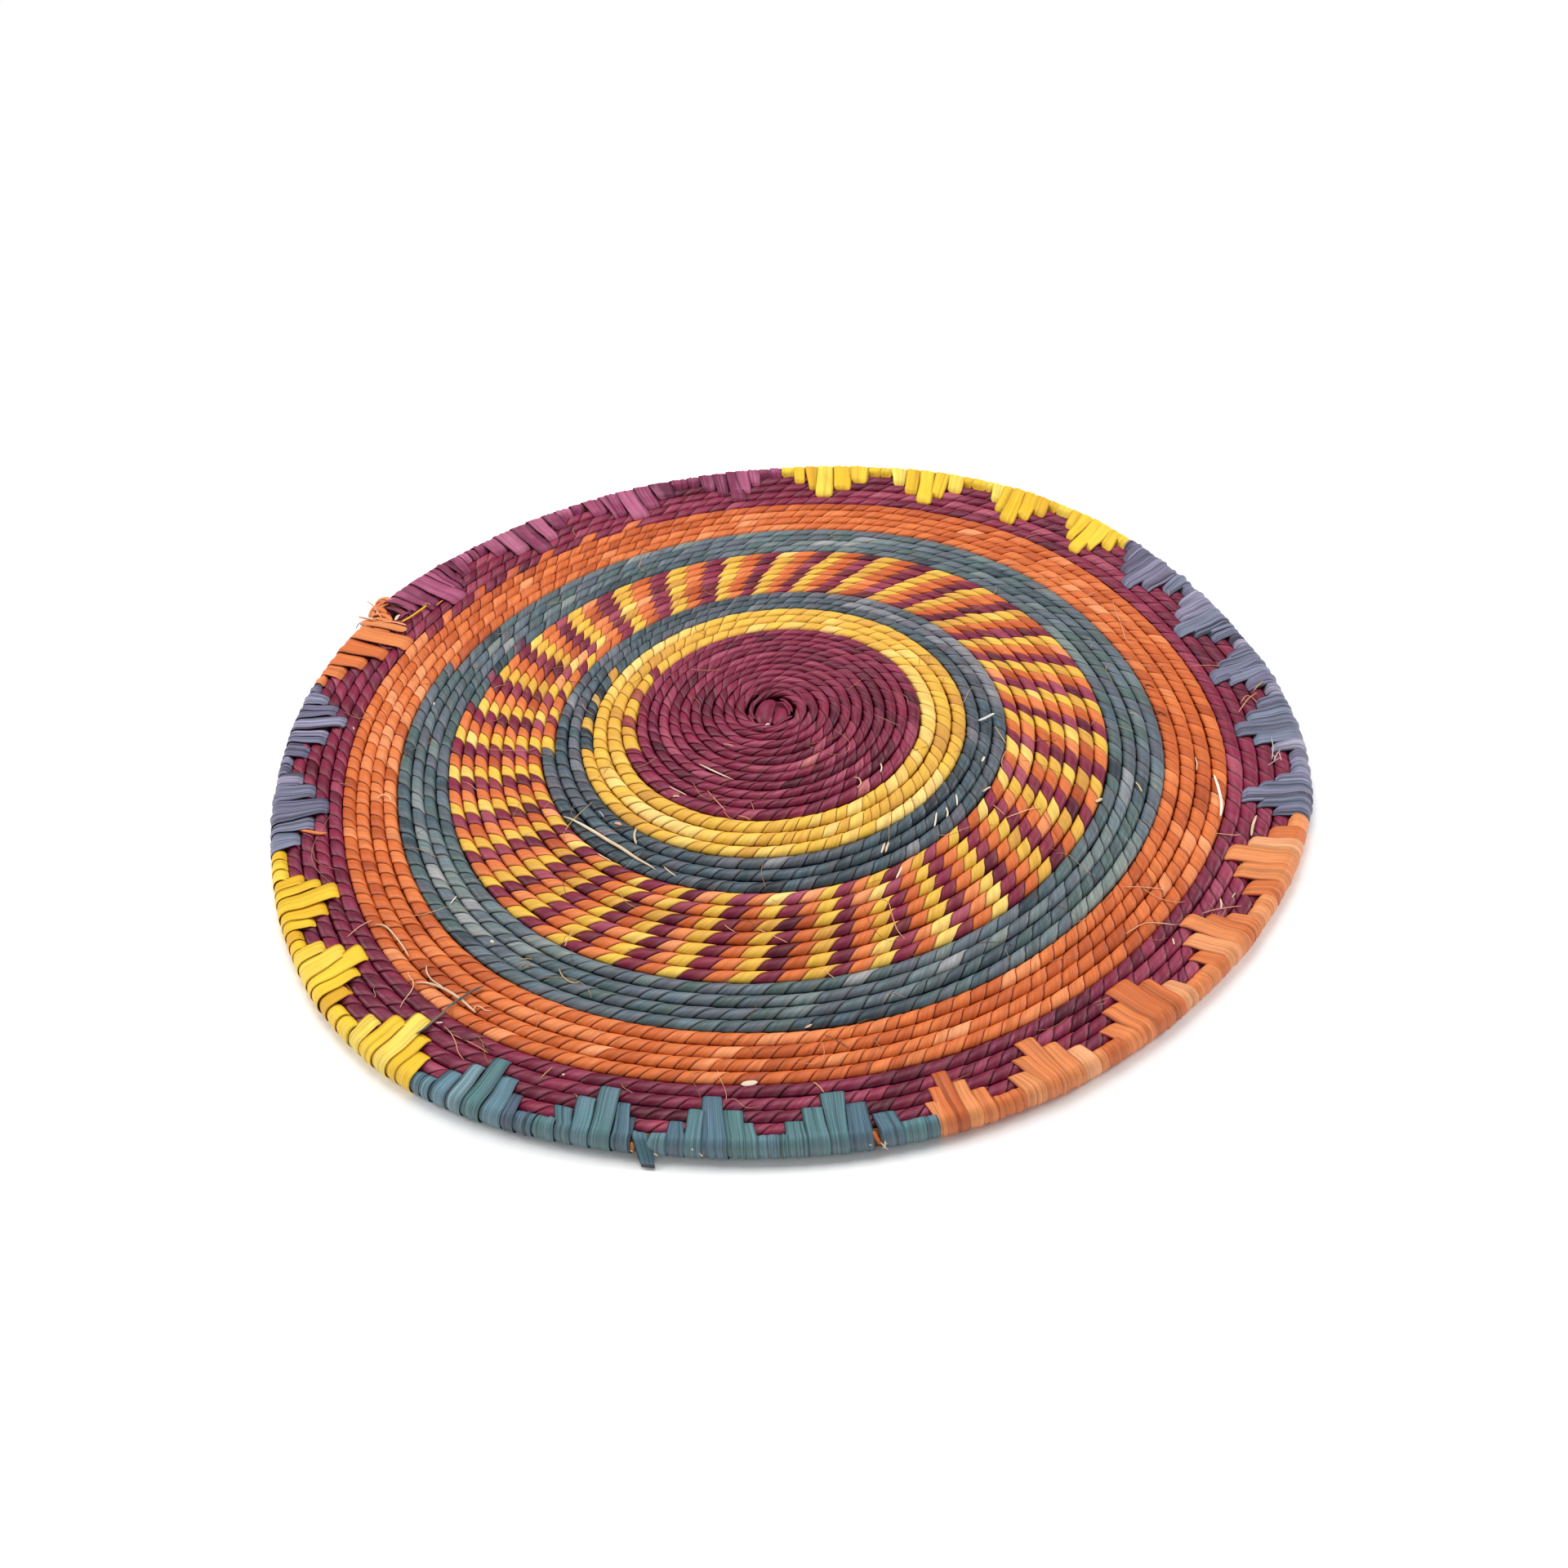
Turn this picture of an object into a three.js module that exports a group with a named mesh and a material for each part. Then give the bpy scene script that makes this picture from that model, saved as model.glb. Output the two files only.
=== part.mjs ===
// Coiled wall plate of dyed palm leaf.
// One fibre bundle, wrapped in leaf, winds clockwise and outwards from a knot at the centre. The leaf
// changes colour from band to band, and the last round is bound in flat leaf strips whose inner
// ends rise and fall in steps. The plate lies on its rim, a shallow dome with its middle raised.
// Millimetres, +Z up. The origin is the middle of the plate's box, at its underside.
import * as THREE from 'three';

// The coil: one row beside the next, with a small gap where the leaf is pulled tight
const COIL_HEIGHT = 4.8;
const COIL_GAP = 0.5;
const SHOULDER_SHARE = 0.5;
const KNOT_EDGE = 6;
const KNOT_SINK = 0.6;
const KNOT_BASE_SHARE = 0.75;
const KNOT_CROWN_SHARE = 0.6;
const KNOT_CROWN_DROP = 0.4;
const STEPS_A_ROUND = 24;
const COARSE_STEPS_A_ROUND = 12;
const COARSE_ROUNDS = 7;
const SAMPLES_A_STEP = 8;
const NEAR_CORNER = 1e-6;
const LEAST_STEP_SHARE = 0.01;

// The bands from the centre out: rounds of coil and the width that each round takes up
const PLUM_CENTRE = { rounds: 11.01, pitch: 3.99 };
const YELLOW = { rounds: 3.03, pitch: 5.51 };
const INNER_BLUE = { rounds: 3.01, pitch: 4.74 };
const CHECKER = { rounds: 7.05, pitch: 5.17 };
const OUTER_BLUE = { rounds: 4.03, pitch: 4.87 };
const ORANGE = { rounds: 4.02, pitch: 5.34 };
const PLUM_BORDER = { rounds: 3.994, pitch: 5.42 };
const RIM = { rounds: 1, pitch: 5.6 };

// The angle at which the coil ends, next to the start of its last round
const SEAM_ANGLE = 143.16;

// The rim round is a thicker bundle. It is widest at its start, and thins out over its last stretch
const RIM_HEIGHT = 6.6;
const RIM_SOLE_WIDTH = 2.4;
const SOLE_SHARE = 0.8;
const SWELL_ROUNDS = 0.047;
const SWELL_WIDTH = 3.9;
const TAPER_ROUNDS = 0.14;
const TAPER_LOSS = { width: 3.6, height: 1.6 };

// The dome: how far the middle stands above the rim, and the flat border inside the rim
const DOME_RISE = 22;
const FLAT_BORDER = 5.5;

// Hand work leaves the outline a little out of round: [lobes, millimetres at the rim, degrees]
const OUT_OF_ROUND = [[1, 1.1, 83], [2, 0.75, 82], [3, 1.4, 37], [4, 1.8, 154], [5, 1.1, 28], [6, 0.9, 78]];

// The flat leaf strips round the rim
const LEAF_THICKNESS = 0.6;
const LEAF_CLEARANCE = 0.35;
const BINDING_THICKNESS = 1.3;
const BINDING_WIDTH = 3.7;
const BINDING_MARGIN = 0.3;
const BLOCK_STRIP_COUNT = 6.4;
const DEEPEST_ROW_COUNT = 4;
const BINDING_ROW_COUNT = 3;
const SEAM_GAP = 0.35;
const LEAST_STRIP = 0.3;
const FIRST_PIECE_COUNT = 5;
const ROW_PIECE_COUNT = 2;

// The free end of one strip, which sticks out over the rim
const LOOSE_END_ANGLE = 253.6;
const LOOSE_END_WIDTH = 5;
const LOOSE_END_REACH = 4;
const LOOSE_END_DROP = 1;

// The coloured stretches of the rim, counter-clockwise, each from its first angle to the next
// stretch's, with the angle of each block's deepest strip
const STRETCHES = [
  { name: 'yellow_top', colour: 'rim_yellow', from: 35.7, peaks: [41.2, 52.4, 65.1, 79.3] },
  { name: 'plum_top', colour: 'rim_plum', from: 85.5, peaks: [91.5, 106.1, 121.1, 136] },
  { name: 'orange_left', colour: 'rim_orange', from: 147.4, peaks: [148.9] },
  { name: 'violet_left', colour: 'rim_violet', from: 158.5, peaks: [165.1, 181.1] },
  { name: 'yellow_left', colour: 'rim_yellow', from: 188.5, peaks: [197.4, 209.1, 223.1] },
  { name: 'teal_front', colour: 'rim_teal', from: 227.8, peaks: [235, 248, 259.6, 272.6] },
  { name: 'orange_right', colour: 'rim_orange', from: 282.5, peaks: [284.7, 295, 308.3, 321.7, 334.4] },
  { name: 'violet_right', colour: 'rim_violet', from: 341.5, peaks: [344.6, 356.7, 367.1, 377.8, 390.1] },
];

// Dyed leaf: hex colour and roughness
const LEAF_COLOURS = {
  plum: [0x7a2748, 0.6],
  yellow: [0xe3b62f, 0.55],
  blue: [0x4a6470, 0.6],
  checker: [0xc9742f, 0.58],
  orange: [0xd8692c, 0.58],
  bundle: [0x9a7a4c, 0.85],
  rim_yellow: [0xecc920, 0.5],
  rim_plum: [0x8f3f66, 0.55],
  rim_orange: [0xd77440, 0.55],
  rim_violet: [0x70709a, 0.55],
  rim_teal: [0x5a8894, 0.55],
};

const COIL_BANDS = [
  { name: 'centre_plum_coil', colour: 'plum', ...PLUM_CENTRE },
  { name: 'yellow_coil', colour: 'yellow', ...YELLOW },
  { name: 'inner_blue_coil', colour: 'blue', ...INNER_BLUE },
  { name: 'checker_coil', colour: 'checker', ...CHECKER },
  { name: 'outer_blue_coil', colour: 'blue', ...OUTER_BLUE },
  { name: 'orange_coil', colour: 'orange', ...ORANGE },
  { name: 'plum_border_coil', colour: 'plum', ...PLUM_BORDER },
  { name: 'rim_coil', colour: 'bundle', ...RIM },
];

// Each band's first and last turn, counted from the knot
let turnsSoFar = 0;
for (const band of COIL_BANDS) {
  band.start = turnsSoFar;
  turnsSoFar += band.rounds;
  band.end = turnsSoFar;
}
const RIM_BAND = COIL_BANDS[COIL_BANDS.length - 1];
const RIM_START = RIM_BAND.start;
const RIM_END = RIM_BAND.end;
const START_ANGLE = SEAM_ANGLE + 360 * (RIM_END - Math.floor(RIM_END));

// Radius of the coil's inner edge at a turn. Its outer edge is the inner edge one turn later, so
// that neighbouring rows always fit.
function innerEdge(turn) {
  let radius = KNOT_EDGE;
  for (const band of COIL_BANDS) {
    const last = band === RIM_BAND ? Infinity : band.end;
    radius += band.pitch * Math.max(0, Math.min(turn, last) - band.start);
  }
  return radius;
}
const RIM_RADIUS = (innerEdge(RIM_START) + innerEdge(RIM_END + 1)) / 2;
const DOME_RADIUS = innerEdge(RIM_START) - FLAT_BORDER;
const MIDDLE_OF_RIM = RIM_HEIGHT / 2 + LEAF_CLEARANCE + LEAF_THICKNESS;

// Height of the coil's middle at a radius: a cosine from the raised centre down to the flat border
function middleHeight(radius) {
  const share = Math.min(radius / DOME_RADIUS, 1);
  return MIDDLE_OF_RIM + (DOME_RISE / 2) * (1 + Math.cos(Math.PI * share));
}

// How steeply the dome falls away at a radius, as an angle
function slopeAngle(radius) {
  const share = Math.min(radius / DOME_RADIUS, 1);
  return Math.atan((DOME_RISE / 2) * (Math.PI / DOME_RADIUS) * Math.sin(Math.PI * share));
}

function angleOf(turn) {
  return THREE.MathUtils.degToRad(START_ANGLE - 360 * turn);
}

// A point at a turn of the spiral, a radius and a height, with the outline's unevenness added
function place(turn, radius, height) {
  const angle = angleOf(turn);
  let uneven = 0;
  for (const [lobes, size, phase] of OUT_OF_ROUND) {
    uneven += size * Math.cos(lobes * angle + THREE.MathUtils.degToRad(phase));
  }
  const r = radius + uneven * Math.pow(radius / RIM_RADIUS, 3);
  return new THREE.Vector3(r * Math.cos(angle), r * Math.sin(angle), height);
}

// Any point between two of the coil's corners lies on the straight step that joins them.
// pointsAt gives a row of points for a turn that is a corner.
function onStep(turn, steps, pointsAt) {
  const low = Math.floor(turn * steps + NEAR_CORNER);
  const share = turn * steps - low;
  const from = pointsAt(low / steps);
  if (share < NEAR_CORNER) return from;
  const to = pointsAt((low + 1) / steps);
  return from.map((point, i) => point.clone().lerp(to[i], share));
}

// How far along its last, thinning stretch the rim round is, from 0 to 1
function taper(turn) {
  const share = (turn - (RIM_END - TAPER_ROUNDS)) / TAPER_ROUNDS;
  return Math.max(0, Math.min(share, 1));
}

// How much wider the rim round is over its first stretch
function swell(turn) {
  return SWELL_WIDTH * Math.max(0, 1 - (turn - RIM_START) / SWELL_ROUNDS);
}

// Half the height of the rim bundle
function rimRise(turn) {
  return (RIM_HEIGHT - TAPER_LOSS.height * taper(turn)) / 2;
}

// The coil's row at a turn: its middle, half its width, the height of its middle and its tilt
function rowAt(turn, isRim) {
  const inner = innerEdge(turn) + COIL_GAP / 2;
  const change = isRim ? swell(turn) - TAPER_LOSS.width * taper(turn) : 0;
  const outer = innerEdge(turn + 1) - COIL_GAP / 2 + change;
  const middle = (inner + outer) / 2;
  return { middle, half: (outer - inner) / 2, height: middleHeight(middle), tilt: slopeAngle(middle) };
}

// Radius and height of a point so far outwards along the dome from a row's middle, and so far up
function fromRow(row, out, up) {
  const cos = Math.cos(row.tilt);
  const sin = Math.sin(row.tilt);
  return [row.middle + out * cos + up * sin, row.height - out * sin + up * cos];
}

// Section of the wrapped coil: six sides, with a ridge on top and one below
function coilSection(turn) {
  const row = rowAt(turn, false);
  const rise = COIL_HEIGHT / 2;
  const shoulder = rise * SHOULDER_SHARE;
  return [[0, rise], [1, shoulder], [1, -shoulder], [0, -rise], [-1, -shoulder], [-1, shoulder]]
    .map(([side, up]) => place(turn, ...fromRow(row, side * row.half, up)));
}

// Half the width of the flat sole under the rim
function soleHalf(row) {
  return Math.min(RIM_SOLE_WIDTH / 2, row.half * SOLE_SHARE);
}

// Section of the thicker rim bundle, flat below
function rimSection(turn) {
  const row = rowAt(turn, true);
  const { half } = row;
  const rise = rimRise(turn);
  const shoulder = rise * SHOULDER_SHARE;
  const sole = soleHalf(row);
  return [[0, rise], [half, shoulder], [half, -shoulder], [sole, -rise], [-sole, -rise],
    [-half, -shoulder], [-half, shoulder]]
    .map(([out, up]) => place(turn, ...fromRow(row, out, up)));
}

// A closed mesh from points and triangles, turned so that its faces point out
function closedMesh(points, triangles) {
  let volume = 0;
  for (const [a, b, c] of triangles) {
    volume += points[a].dot(new THREE.Vector3().crossVectors(points[b], points[c]));
  }
  const order = volume > 0 ? triangles : triangles.map(([a, b, c]) => [a, c, b]);
  const geometry = new THREE.BufferGeometry();
  const flat = points.flatMap((point) => [point.x, point.y, point.z]);
  geometry.setAttribute('position', new THREE.Float32BufferAttribute(flat, 3));
  geometry.setIndex(order.flat());
  geometry.computeVertexNormals();
  return geometry;
}

// Skin over a row of like sections, closed by a fan at each end
function loft(sections) {
  const size = sections[0].length;
  const points = sections.flat();
  const triangles = [];
  for (let i = 0; i + 1 < sections.length; i += 1) {
    for (let k = 0; k < size; k += 1) {
      const a = i * size + k;
      const b = i * size + ((k + 1) % size);
      triangles.push([a, b, a + size], [b, b + size, a + size]);
    }
  }
  const last = (sections.length - 1) * size;
  for (let k = 1; k + 1 < size; k += 1) {
    triangles.push([0, k + 1, k], [last, last + k, last + k + 1]);
  }
  return closedMesh(points, triangles);
}

// Turns at which a band has a section: its two ends, and every corner between them
function sectionTurns(band) {
  const endGap = SEAM_GAP / 2 / (2 * Math.PI * innerEdge(band.start));
  const first = band.start + (band.start > 0 ? endGap : 0);
  const last = band.end - SEAM_GAP / 2 / (2 * Math.PI * innerEdge(band.end));
  const turns = [first];
  const near = LEAST_STEP_SHARE / STEPS_A_ROUND;
  for (let i = Math.ceil(first * STEPS_A_ROUND); i / STEPS_A_ROUND < last; i += 1) {
    const turn = i / STEPS_A_ROUND;
    const skipped = turn < COARSE_ROUNDS && i % (STEPS_A_ROUND / COARSE_STEPS_A_ROUND) !== 0;
    if (!skipped && turn - first > near && last - turn > near) turns.push(turn);
  }
  turns.push(last);
  return turns;
}

function coil(band) {
  const section = band === RIM_BAND ? rimSection : coilSection;
  const sections = sectionTurns(band).map((turn) => {
    const steps = turn < COARSE_ROUNDS ? COARSE_STEPS_A_ROUND : STEPS_A_ROUND;
    return onStep(turn, steps, section);
  });
  return loft(sections);
}

// Least gap between a band's rows, measured between points along the outer side of one round and
// points along the inner side of the next
function leastGap(band) {
  const samples = SAMPLES_A_STEP * STEPS_A_ROUND;
  const shoulder = { outer: 1, inner: 5 };
  const reach = 2;
  const pointAt = (sample, side) => {
    const turn = sample / samples;
    const steps = turn < COARSE_ROUNDS ? COARSE_STEPS_A_ROUND : STEPS_A_ROUND;
    return onStep(turn, steps, coilSection)[shoulder[side]];
  };
  let least = Infinity;
  for (let i = Math.ceil(band.start * samples); i / samples + 1 < band.end; i += 1) {
    const here = pointAt(i, 'outer');
    for (let k = i - reach; k <= i + reach; k += 1) {
      least = Math.min(least, here.distanceTo(pointAt(k + samples, 'inner')));
    }
  }
  return least;
}

// The knot where the coil starts: its outline follows the first round's inner side, and its top
// is a low dome
function startKnot() {
  const top = middleHeight(0) + COIL_HEIGHT / 2 - KNOT_SINK;
  const bottom = middleHeight(0) - COIL_HEIGHT / 2;
  const rim = middleHeight(0) + (COIL_HEIGHT / 2) * SHOULDER_SHARE - KNOT_SINK;
  const foot = middleHeight(0) - (COIL_HEIGHT / 2) * SHOULDER_SHARE;
  const crown = top - KNOT_CROWN_DROP;
  const rings = [[KNOT_BASE_SHARE, bottom], [1, foot], [1, rim], [KNOT_CROWN_SHARE, crown]];
  const points = [];
  for (const [share, height] of rings) {
    for (let i = 0; i < COARSE_STEPS_A_ROUND; i += 1) {
      const turn = i / COARSE_STEPS_A_ROUND;
      const radius = innerEdge(turn) - COIL_GAP / 2;
      points.push(place(turn, radius * share, height));
    }
  }
  const size = COARSE_STEPS_A_ROUND;
  const topPoint = points.length;
  points.push(new THREE.Vector3(0, 0, top), new THREE.Vector3(0, 0, bottom));
  const triangles = [];
  for (let k = 0; k < size; k += 1) {
    const next = (k + 1) % size;
    for (let i = 0; i + 1 < rings.length; i += 1) {
      const a = i * size + k;
      const b = i * size + next;
      triangles.push([a, b, a + size], [b, b + size, a + size]);
    }
    triangles.push([(rings.length - 1) * size + k, (rings.length - 1) * size + next, topPoint]);
    triangles.push([next, k, topPoint + 1]);
  }
  return closedMesh(points, triangles);
}

// The turn of the rim round that lies at an angle, in degrees
function rimTurn(angle) {
  const turn = (START_ANGLE - angle) / 360;
  return turn + Math.ceil(RIM_START - turn);
}

// The way of a leaf strip, lifted off the coil: under the rim, round its side, over its top and
// down into each groove, in to the deepest step
function leafPath(turn, lift) {
  const rim = rowAt(turn, true);
  const rise = rimRise(turn);
  const sole = soleHalf(rim);
  const way = [
    fromRow(rim, -sole, -rise - lift),
    fromRow(rim, sole, -rise - lift),
    fromRow(rim, rim.half + lift, -rise * SHOULDER_SHARE),
    fromRow(rim, rim.half + lift, rise * SHOULDER_SHARE),
    fromRow(rim, 0, rise + lift),
  ];
  const coilShoulder = (COIL_HEIGHT / 2) * SHOULDER_SHARE;
  let shoulder = rim.height + rise * SHOULDER_SHARE;
  for (let depth = 1; depth <= DEEPEST_ROW_COUNT; depth += 1) {
    const row = rowAt(turn - depth, false);
    const [, inner] = fromRow(row, row.half, coilShoulder);
    way.push([innerEdge(turn - depth + 1), Math.max(shoulder, inner) + lift]);
    if (depth < DEEPEST_ROW_COUNT) way.push(fromRow(row, 0, COIL_HEIGHT / 2 + lift));
    [, shoulder] = fromRow(row, -row.half, coilShoulder);
  }
  return way.map(([radius, height]) => place(turn, radius, height));
}

// How many pieces of the path a strip takes that is so many rows deep
function pathPieces(depth) {
  return FIRST_PIECE_COUNT + ROW_PIECE_COUNT * (depth - 1);
}

// A sheet of leaf with stepped ends. Each station has its inside and outside points, and pieces
// says how many pieces of the way the sheet takes between one station and the next.
function steppedSheet(stations, pieces) {
  const count = stations[0].inside.length;
  const points = stations.flatMap((station) => [...station.inside, ...station.outside]);
  const inside = (station, k) => station * 2 * count + k;
  const outside = (station, k) => inside(station, k) + count;
  const triangles = [];
  const quad = (a, b, c, d) => triangles.push([a, b, c], [a, c, d]);
  pieces.forEach((end, s) => {
    for (let k = 0; k < end; k += 1) {
      quad(outside(s, k), outside(s, k + 1), outside(s + 1, k + 1), outside(s + 1, k));
      quad(inside(s, k), inside(s + 1, k), inside(s + 1, k + 1), inside(s, k + 1));
    }
    quad(outside(s, 0), outside(s + 1, 0), inside(s + 1, 0), inside(s, 0));
    quad(outside(s, end), inside(s, end), inside(s + 1, end), outside(s + 1, end));
  });
  stations.forEach((station, s) => {
    const before = s === 0 ? 0 : pieces[s - 1];
    const after = s === pieces.length ? 0 : pieces[s];
    for (let k = Math.min(before, after); k < Math.max(before, after); k += 1) {
      if (after > before) quad(outside(s, k), inside(s, k), inside(s, k + 1), outside(s, k + 1));
      else quad(outside(s, k), outside(s, k + 1), inside(s, k + 1), inside(s, k));
    }
  });
  return closedMesh(...withoutSpares(points, triangles));
}

// The inside and outside of a strip at a turn, so far off the coil and so thick
function leafStation(turn, lift, thickness) {
  return {
    inside: onStep(turn, STEPS_A_ROUND, (corner) => leafPath(corner, lift)),
    outside: onStep(turn, STEPS_A_ROUND, (corner) => leafPath(corner, lift + thickness)),
  };
}

// A run of strips side by side round the rim. stops are the angles between the strips, and
// depths says how many rows each strip covers.
function leafRun(stops, depths, thickness) {
  const turns = [];
  const pieces = [];
  depths.forEach((depth, i) => {
    const from = rimTurn(stops[i]);
    const to = rimTurn(stops[i + 1]);
    const stationTurns = [from];
    for (let corner = Math.floor(from * STEPS_A_ROUND); corner > to * STEPS_A_ROUND; corner -= 1) {
      stationTurns.push(corner / STEPS_A_ROUND);
    }
    for (const turn of stationTurns) {
      turns.push(turn);
      pieces.push(pathPieces(depth));
    }
  });
  turns.push(rimTurn(stops[stops.length - 1]));
  return steppedSheet(turns.map((turn) => leafStation(turn, LEAF_CLEARANCE, thickness)), pieces);
}

// Points that no triangle uses are left out
function withoutSpares(points, triangles) {
  const renumber = new Map();
  const kept = [];
  const order = triangles.map((triangle) => triangle.map((index) => {
    if (!renumber.has(index)) {
      renumber.set(index, kept.length);
      kept.push(points[index]);
    }
    return renumber.get(index);
  }));
  return [kept, order];
}

// One block of strips: a deepest strip at its peak, and a row less for each strip away from it
function stripBlock({ from, to, peak, stripBefore, stripAfter }) {
  const seam = THREE.MathUtils.radToDeg(SEAM_GAP / 2 / RIM_RADIUS);
  const stops = [from + seam];
  const depths = [];
  for (let side = 1 - DEEPEST_ROW_COUNT; side < DEEPEST_ROW_COUNT; side += 1) {
    const strip = side < 0 ? stripBefore : stripAfter;
    const last = side === DEEPEST_ROW_COUNT - 1;
    const stop = last ? to - seam : Math.min(peak + (side + 0.5) * strip, to - seam);
    if (stop - stops[stops.length - 1] > LEAST_STRIP) {
      stops.push(stop);
      depths.push(DEEPEST_ROW_COUNT - Math.abs(side));
    }
  }
  return leafRun(stops, depths, LEAF_THICKNESS);
}

// The free end of a strip: a flat tongue that leaves the top of the rim and sticks out over it
function looseEnd() {
  const seat = LEAF_CLEARANCE + LEAF_THICKNESS + LEAF_CLEARANCE;
  const halfTurn = LOOSE_END_WIDTH / 2 / (2 * Math.PI * RIM_RADIUS);
  const stations = [halfTurn, -halfTurn].map((side) => {
    const station = leafStation(rimTurn(LOOSE_END_ANGLE) + side, seat, LEAF_THICKNESS);
    const [, , , rimCorner] = station.inside;
    const out = rimCorner.clone().setZ(0).setLength(LOOSE_END_REACH);
    out.z = -LOOSE_END_DROP;
    const way = ([, , , corner, ridge]) => [corner.clone().add(out), corner, ridge];
    return { inside: way(station.inside), outside: way(station.outside) };
  });
  return steppedSheet(stations, [2]);
}

function leafMaterial(colour) {
  const [hex, roughness] = LEAF_COLOURS[colour];
  return new THREE.MeshStandardMaterial({ color: hex, roughness, metalness: 0 });
}

const plate = new THREE.Group();
function add(name, geometry, colour) {
  const mesh = new THREE.Mesh(geometry, leafMaterial(colour));
  mesh.name = name;
  plate.add(mesh);
}

add('start_knot', startKnot(), 'plum');
for (const band of COIL_BANDS) {
  add(band.name, coil(band), band.colour);
  if (band !== RIM_BAND) console.log(`${band.name}: least gap ${leastGap(band).toFixed(2)} mm`);
}

// The coil's end, thinned out and bound down with a thicker strip
const bindingStart = SEAM_ANGLE + BINDING_MARGIN;
const bindingStops = [bindingStart, bindingStart + BINDING_WIDTH];
add('coil_end_binding', leafRun(bindingStops, [BINDING_ROW_COUNT], BINDING_THICKNESS), 'rim_orange');

// Blocks meet halfway between their peaks, or where the colour changes
const peaks = STRETCHES.flatMap((stretch) => stretch.peaks);
STRETCHES.forEach((stretch, s) => {
  const next = STRETCHES[(s + 1) % STRETCHES.length];
  const nextFrom = next.from + (s + 1 === STRETCHES.length ? 360 : 0);
  const holdsSeam = stretch.from < SEAM_ANGLE && SEAM_ANGLE < nextFrom;
  const stretchEnd = holdsSeam ? SEAM_ANGLE - BINDING_MARGIN : nextFrom;
  stretch.peaks.forEach((peak, i) => {
    const index = peaks.indexOf(peak);
    const previousPeak = index === 0 ? peaks[peaks.length - 1] - 360 : peaks[index - 1];
    const nextPeak = index === peaks.length - 1 ? peaks[0] + 360 : peaks[index + 1];
    const block = {
      from: i === 0 ? stretch.from : (previousPeak + peak) / 2,
      to: i === stretch.peaks.length - 1 ? stretchEnd : (peak + nextPeak) / 2,
      peak,
      stripBefore: (peak - previousPeak) / BLOCK_STRIP_COUNT,
      stripAfter: (nextPeak - peak) / BLOCK_STRIP_COUNT,
    };
    add(`${stretch.name}_strips_${i + 1}`, stripBlock(block), stretch.colour);
  });
});
add('loose_strip_end', looseEnd(), 'rim_teal');

// The origin goes to the middle of the box
plate.updateMatrixWorld(true);
const box = new THREE.Box3().setFromObject(plate);
plate.position.set(-(box.min.x + box.max.x) / 2, -(box.min.y + box.max.y) / 2, 0);

export default plate;
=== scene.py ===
"""Coiled palm-leaf wall plate: the look of every piece, over the plate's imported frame.

One bundle of fibre, wrapped in dyed leaf, winds clockwise and outwards from a knot. The leaf changes
colour from band to band, and flat strips bind the last round in stepped blocks.

Lengths are millimetres and angles are degrees, counter-clockwise from +X seen from above, unless a
name says otherwise. Meshes are written in metres. A turn is one round of the coil from the knot on.
"""

import logging
import math
from dataclasses import dataclass, field
from enum import Enum
from typing import Any, Sequence

import bpy
import numpy as np
from mathutils import Matrix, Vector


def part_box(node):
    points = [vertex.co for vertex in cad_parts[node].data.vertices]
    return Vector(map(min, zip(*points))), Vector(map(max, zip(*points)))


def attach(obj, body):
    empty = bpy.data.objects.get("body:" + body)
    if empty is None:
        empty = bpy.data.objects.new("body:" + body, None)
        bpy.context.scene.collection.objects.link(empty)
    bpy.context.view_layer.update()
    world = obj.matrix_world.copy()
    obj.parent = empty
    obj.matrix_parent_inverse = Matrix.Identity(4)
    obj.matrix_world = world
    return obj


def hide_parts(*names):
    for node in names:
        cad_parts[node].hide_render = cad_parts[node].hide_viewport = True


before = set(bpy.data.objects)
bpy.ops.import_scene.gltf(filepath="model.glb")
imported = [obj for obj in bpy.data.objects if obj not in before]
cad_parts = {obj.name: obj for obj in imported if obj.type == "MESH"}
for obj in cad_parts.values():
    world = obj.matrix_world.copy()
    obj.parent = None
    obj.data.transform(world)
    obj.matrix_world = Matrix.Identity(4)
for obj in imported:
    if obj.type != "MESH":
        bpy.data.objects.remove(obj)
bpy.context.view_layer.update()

LOG = logging.getLogger("plate")
METRES = 0.001
BODY = "root"
PHOTO_PIXELS = 1920
TAU = 2 * math.pi

# Leaves are numbered up to this, so that no two have the same streaks
LEAF_NUMBERS = 60


def linear(hex_colour: str) -> np.ndarray:
    """Turns an sRGB hex colour into linear light.

    Args:
        hex_colour: the colour, such as "#7a2748".

    Returns:
        Three numbers from 0 to 1: c / 12.92 in the darks, else ((c + 0.055) / 1.055) ** 2.4.
    """
    parts = np.array([int(hex_colour[i:i + 2], 16) for i in (1, 3, 5)]) / 255
    return np.where(parts <= 0.04045, parts / 12.92, ((parts + 0.055) / 1.055) ** 2.4)


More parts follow.
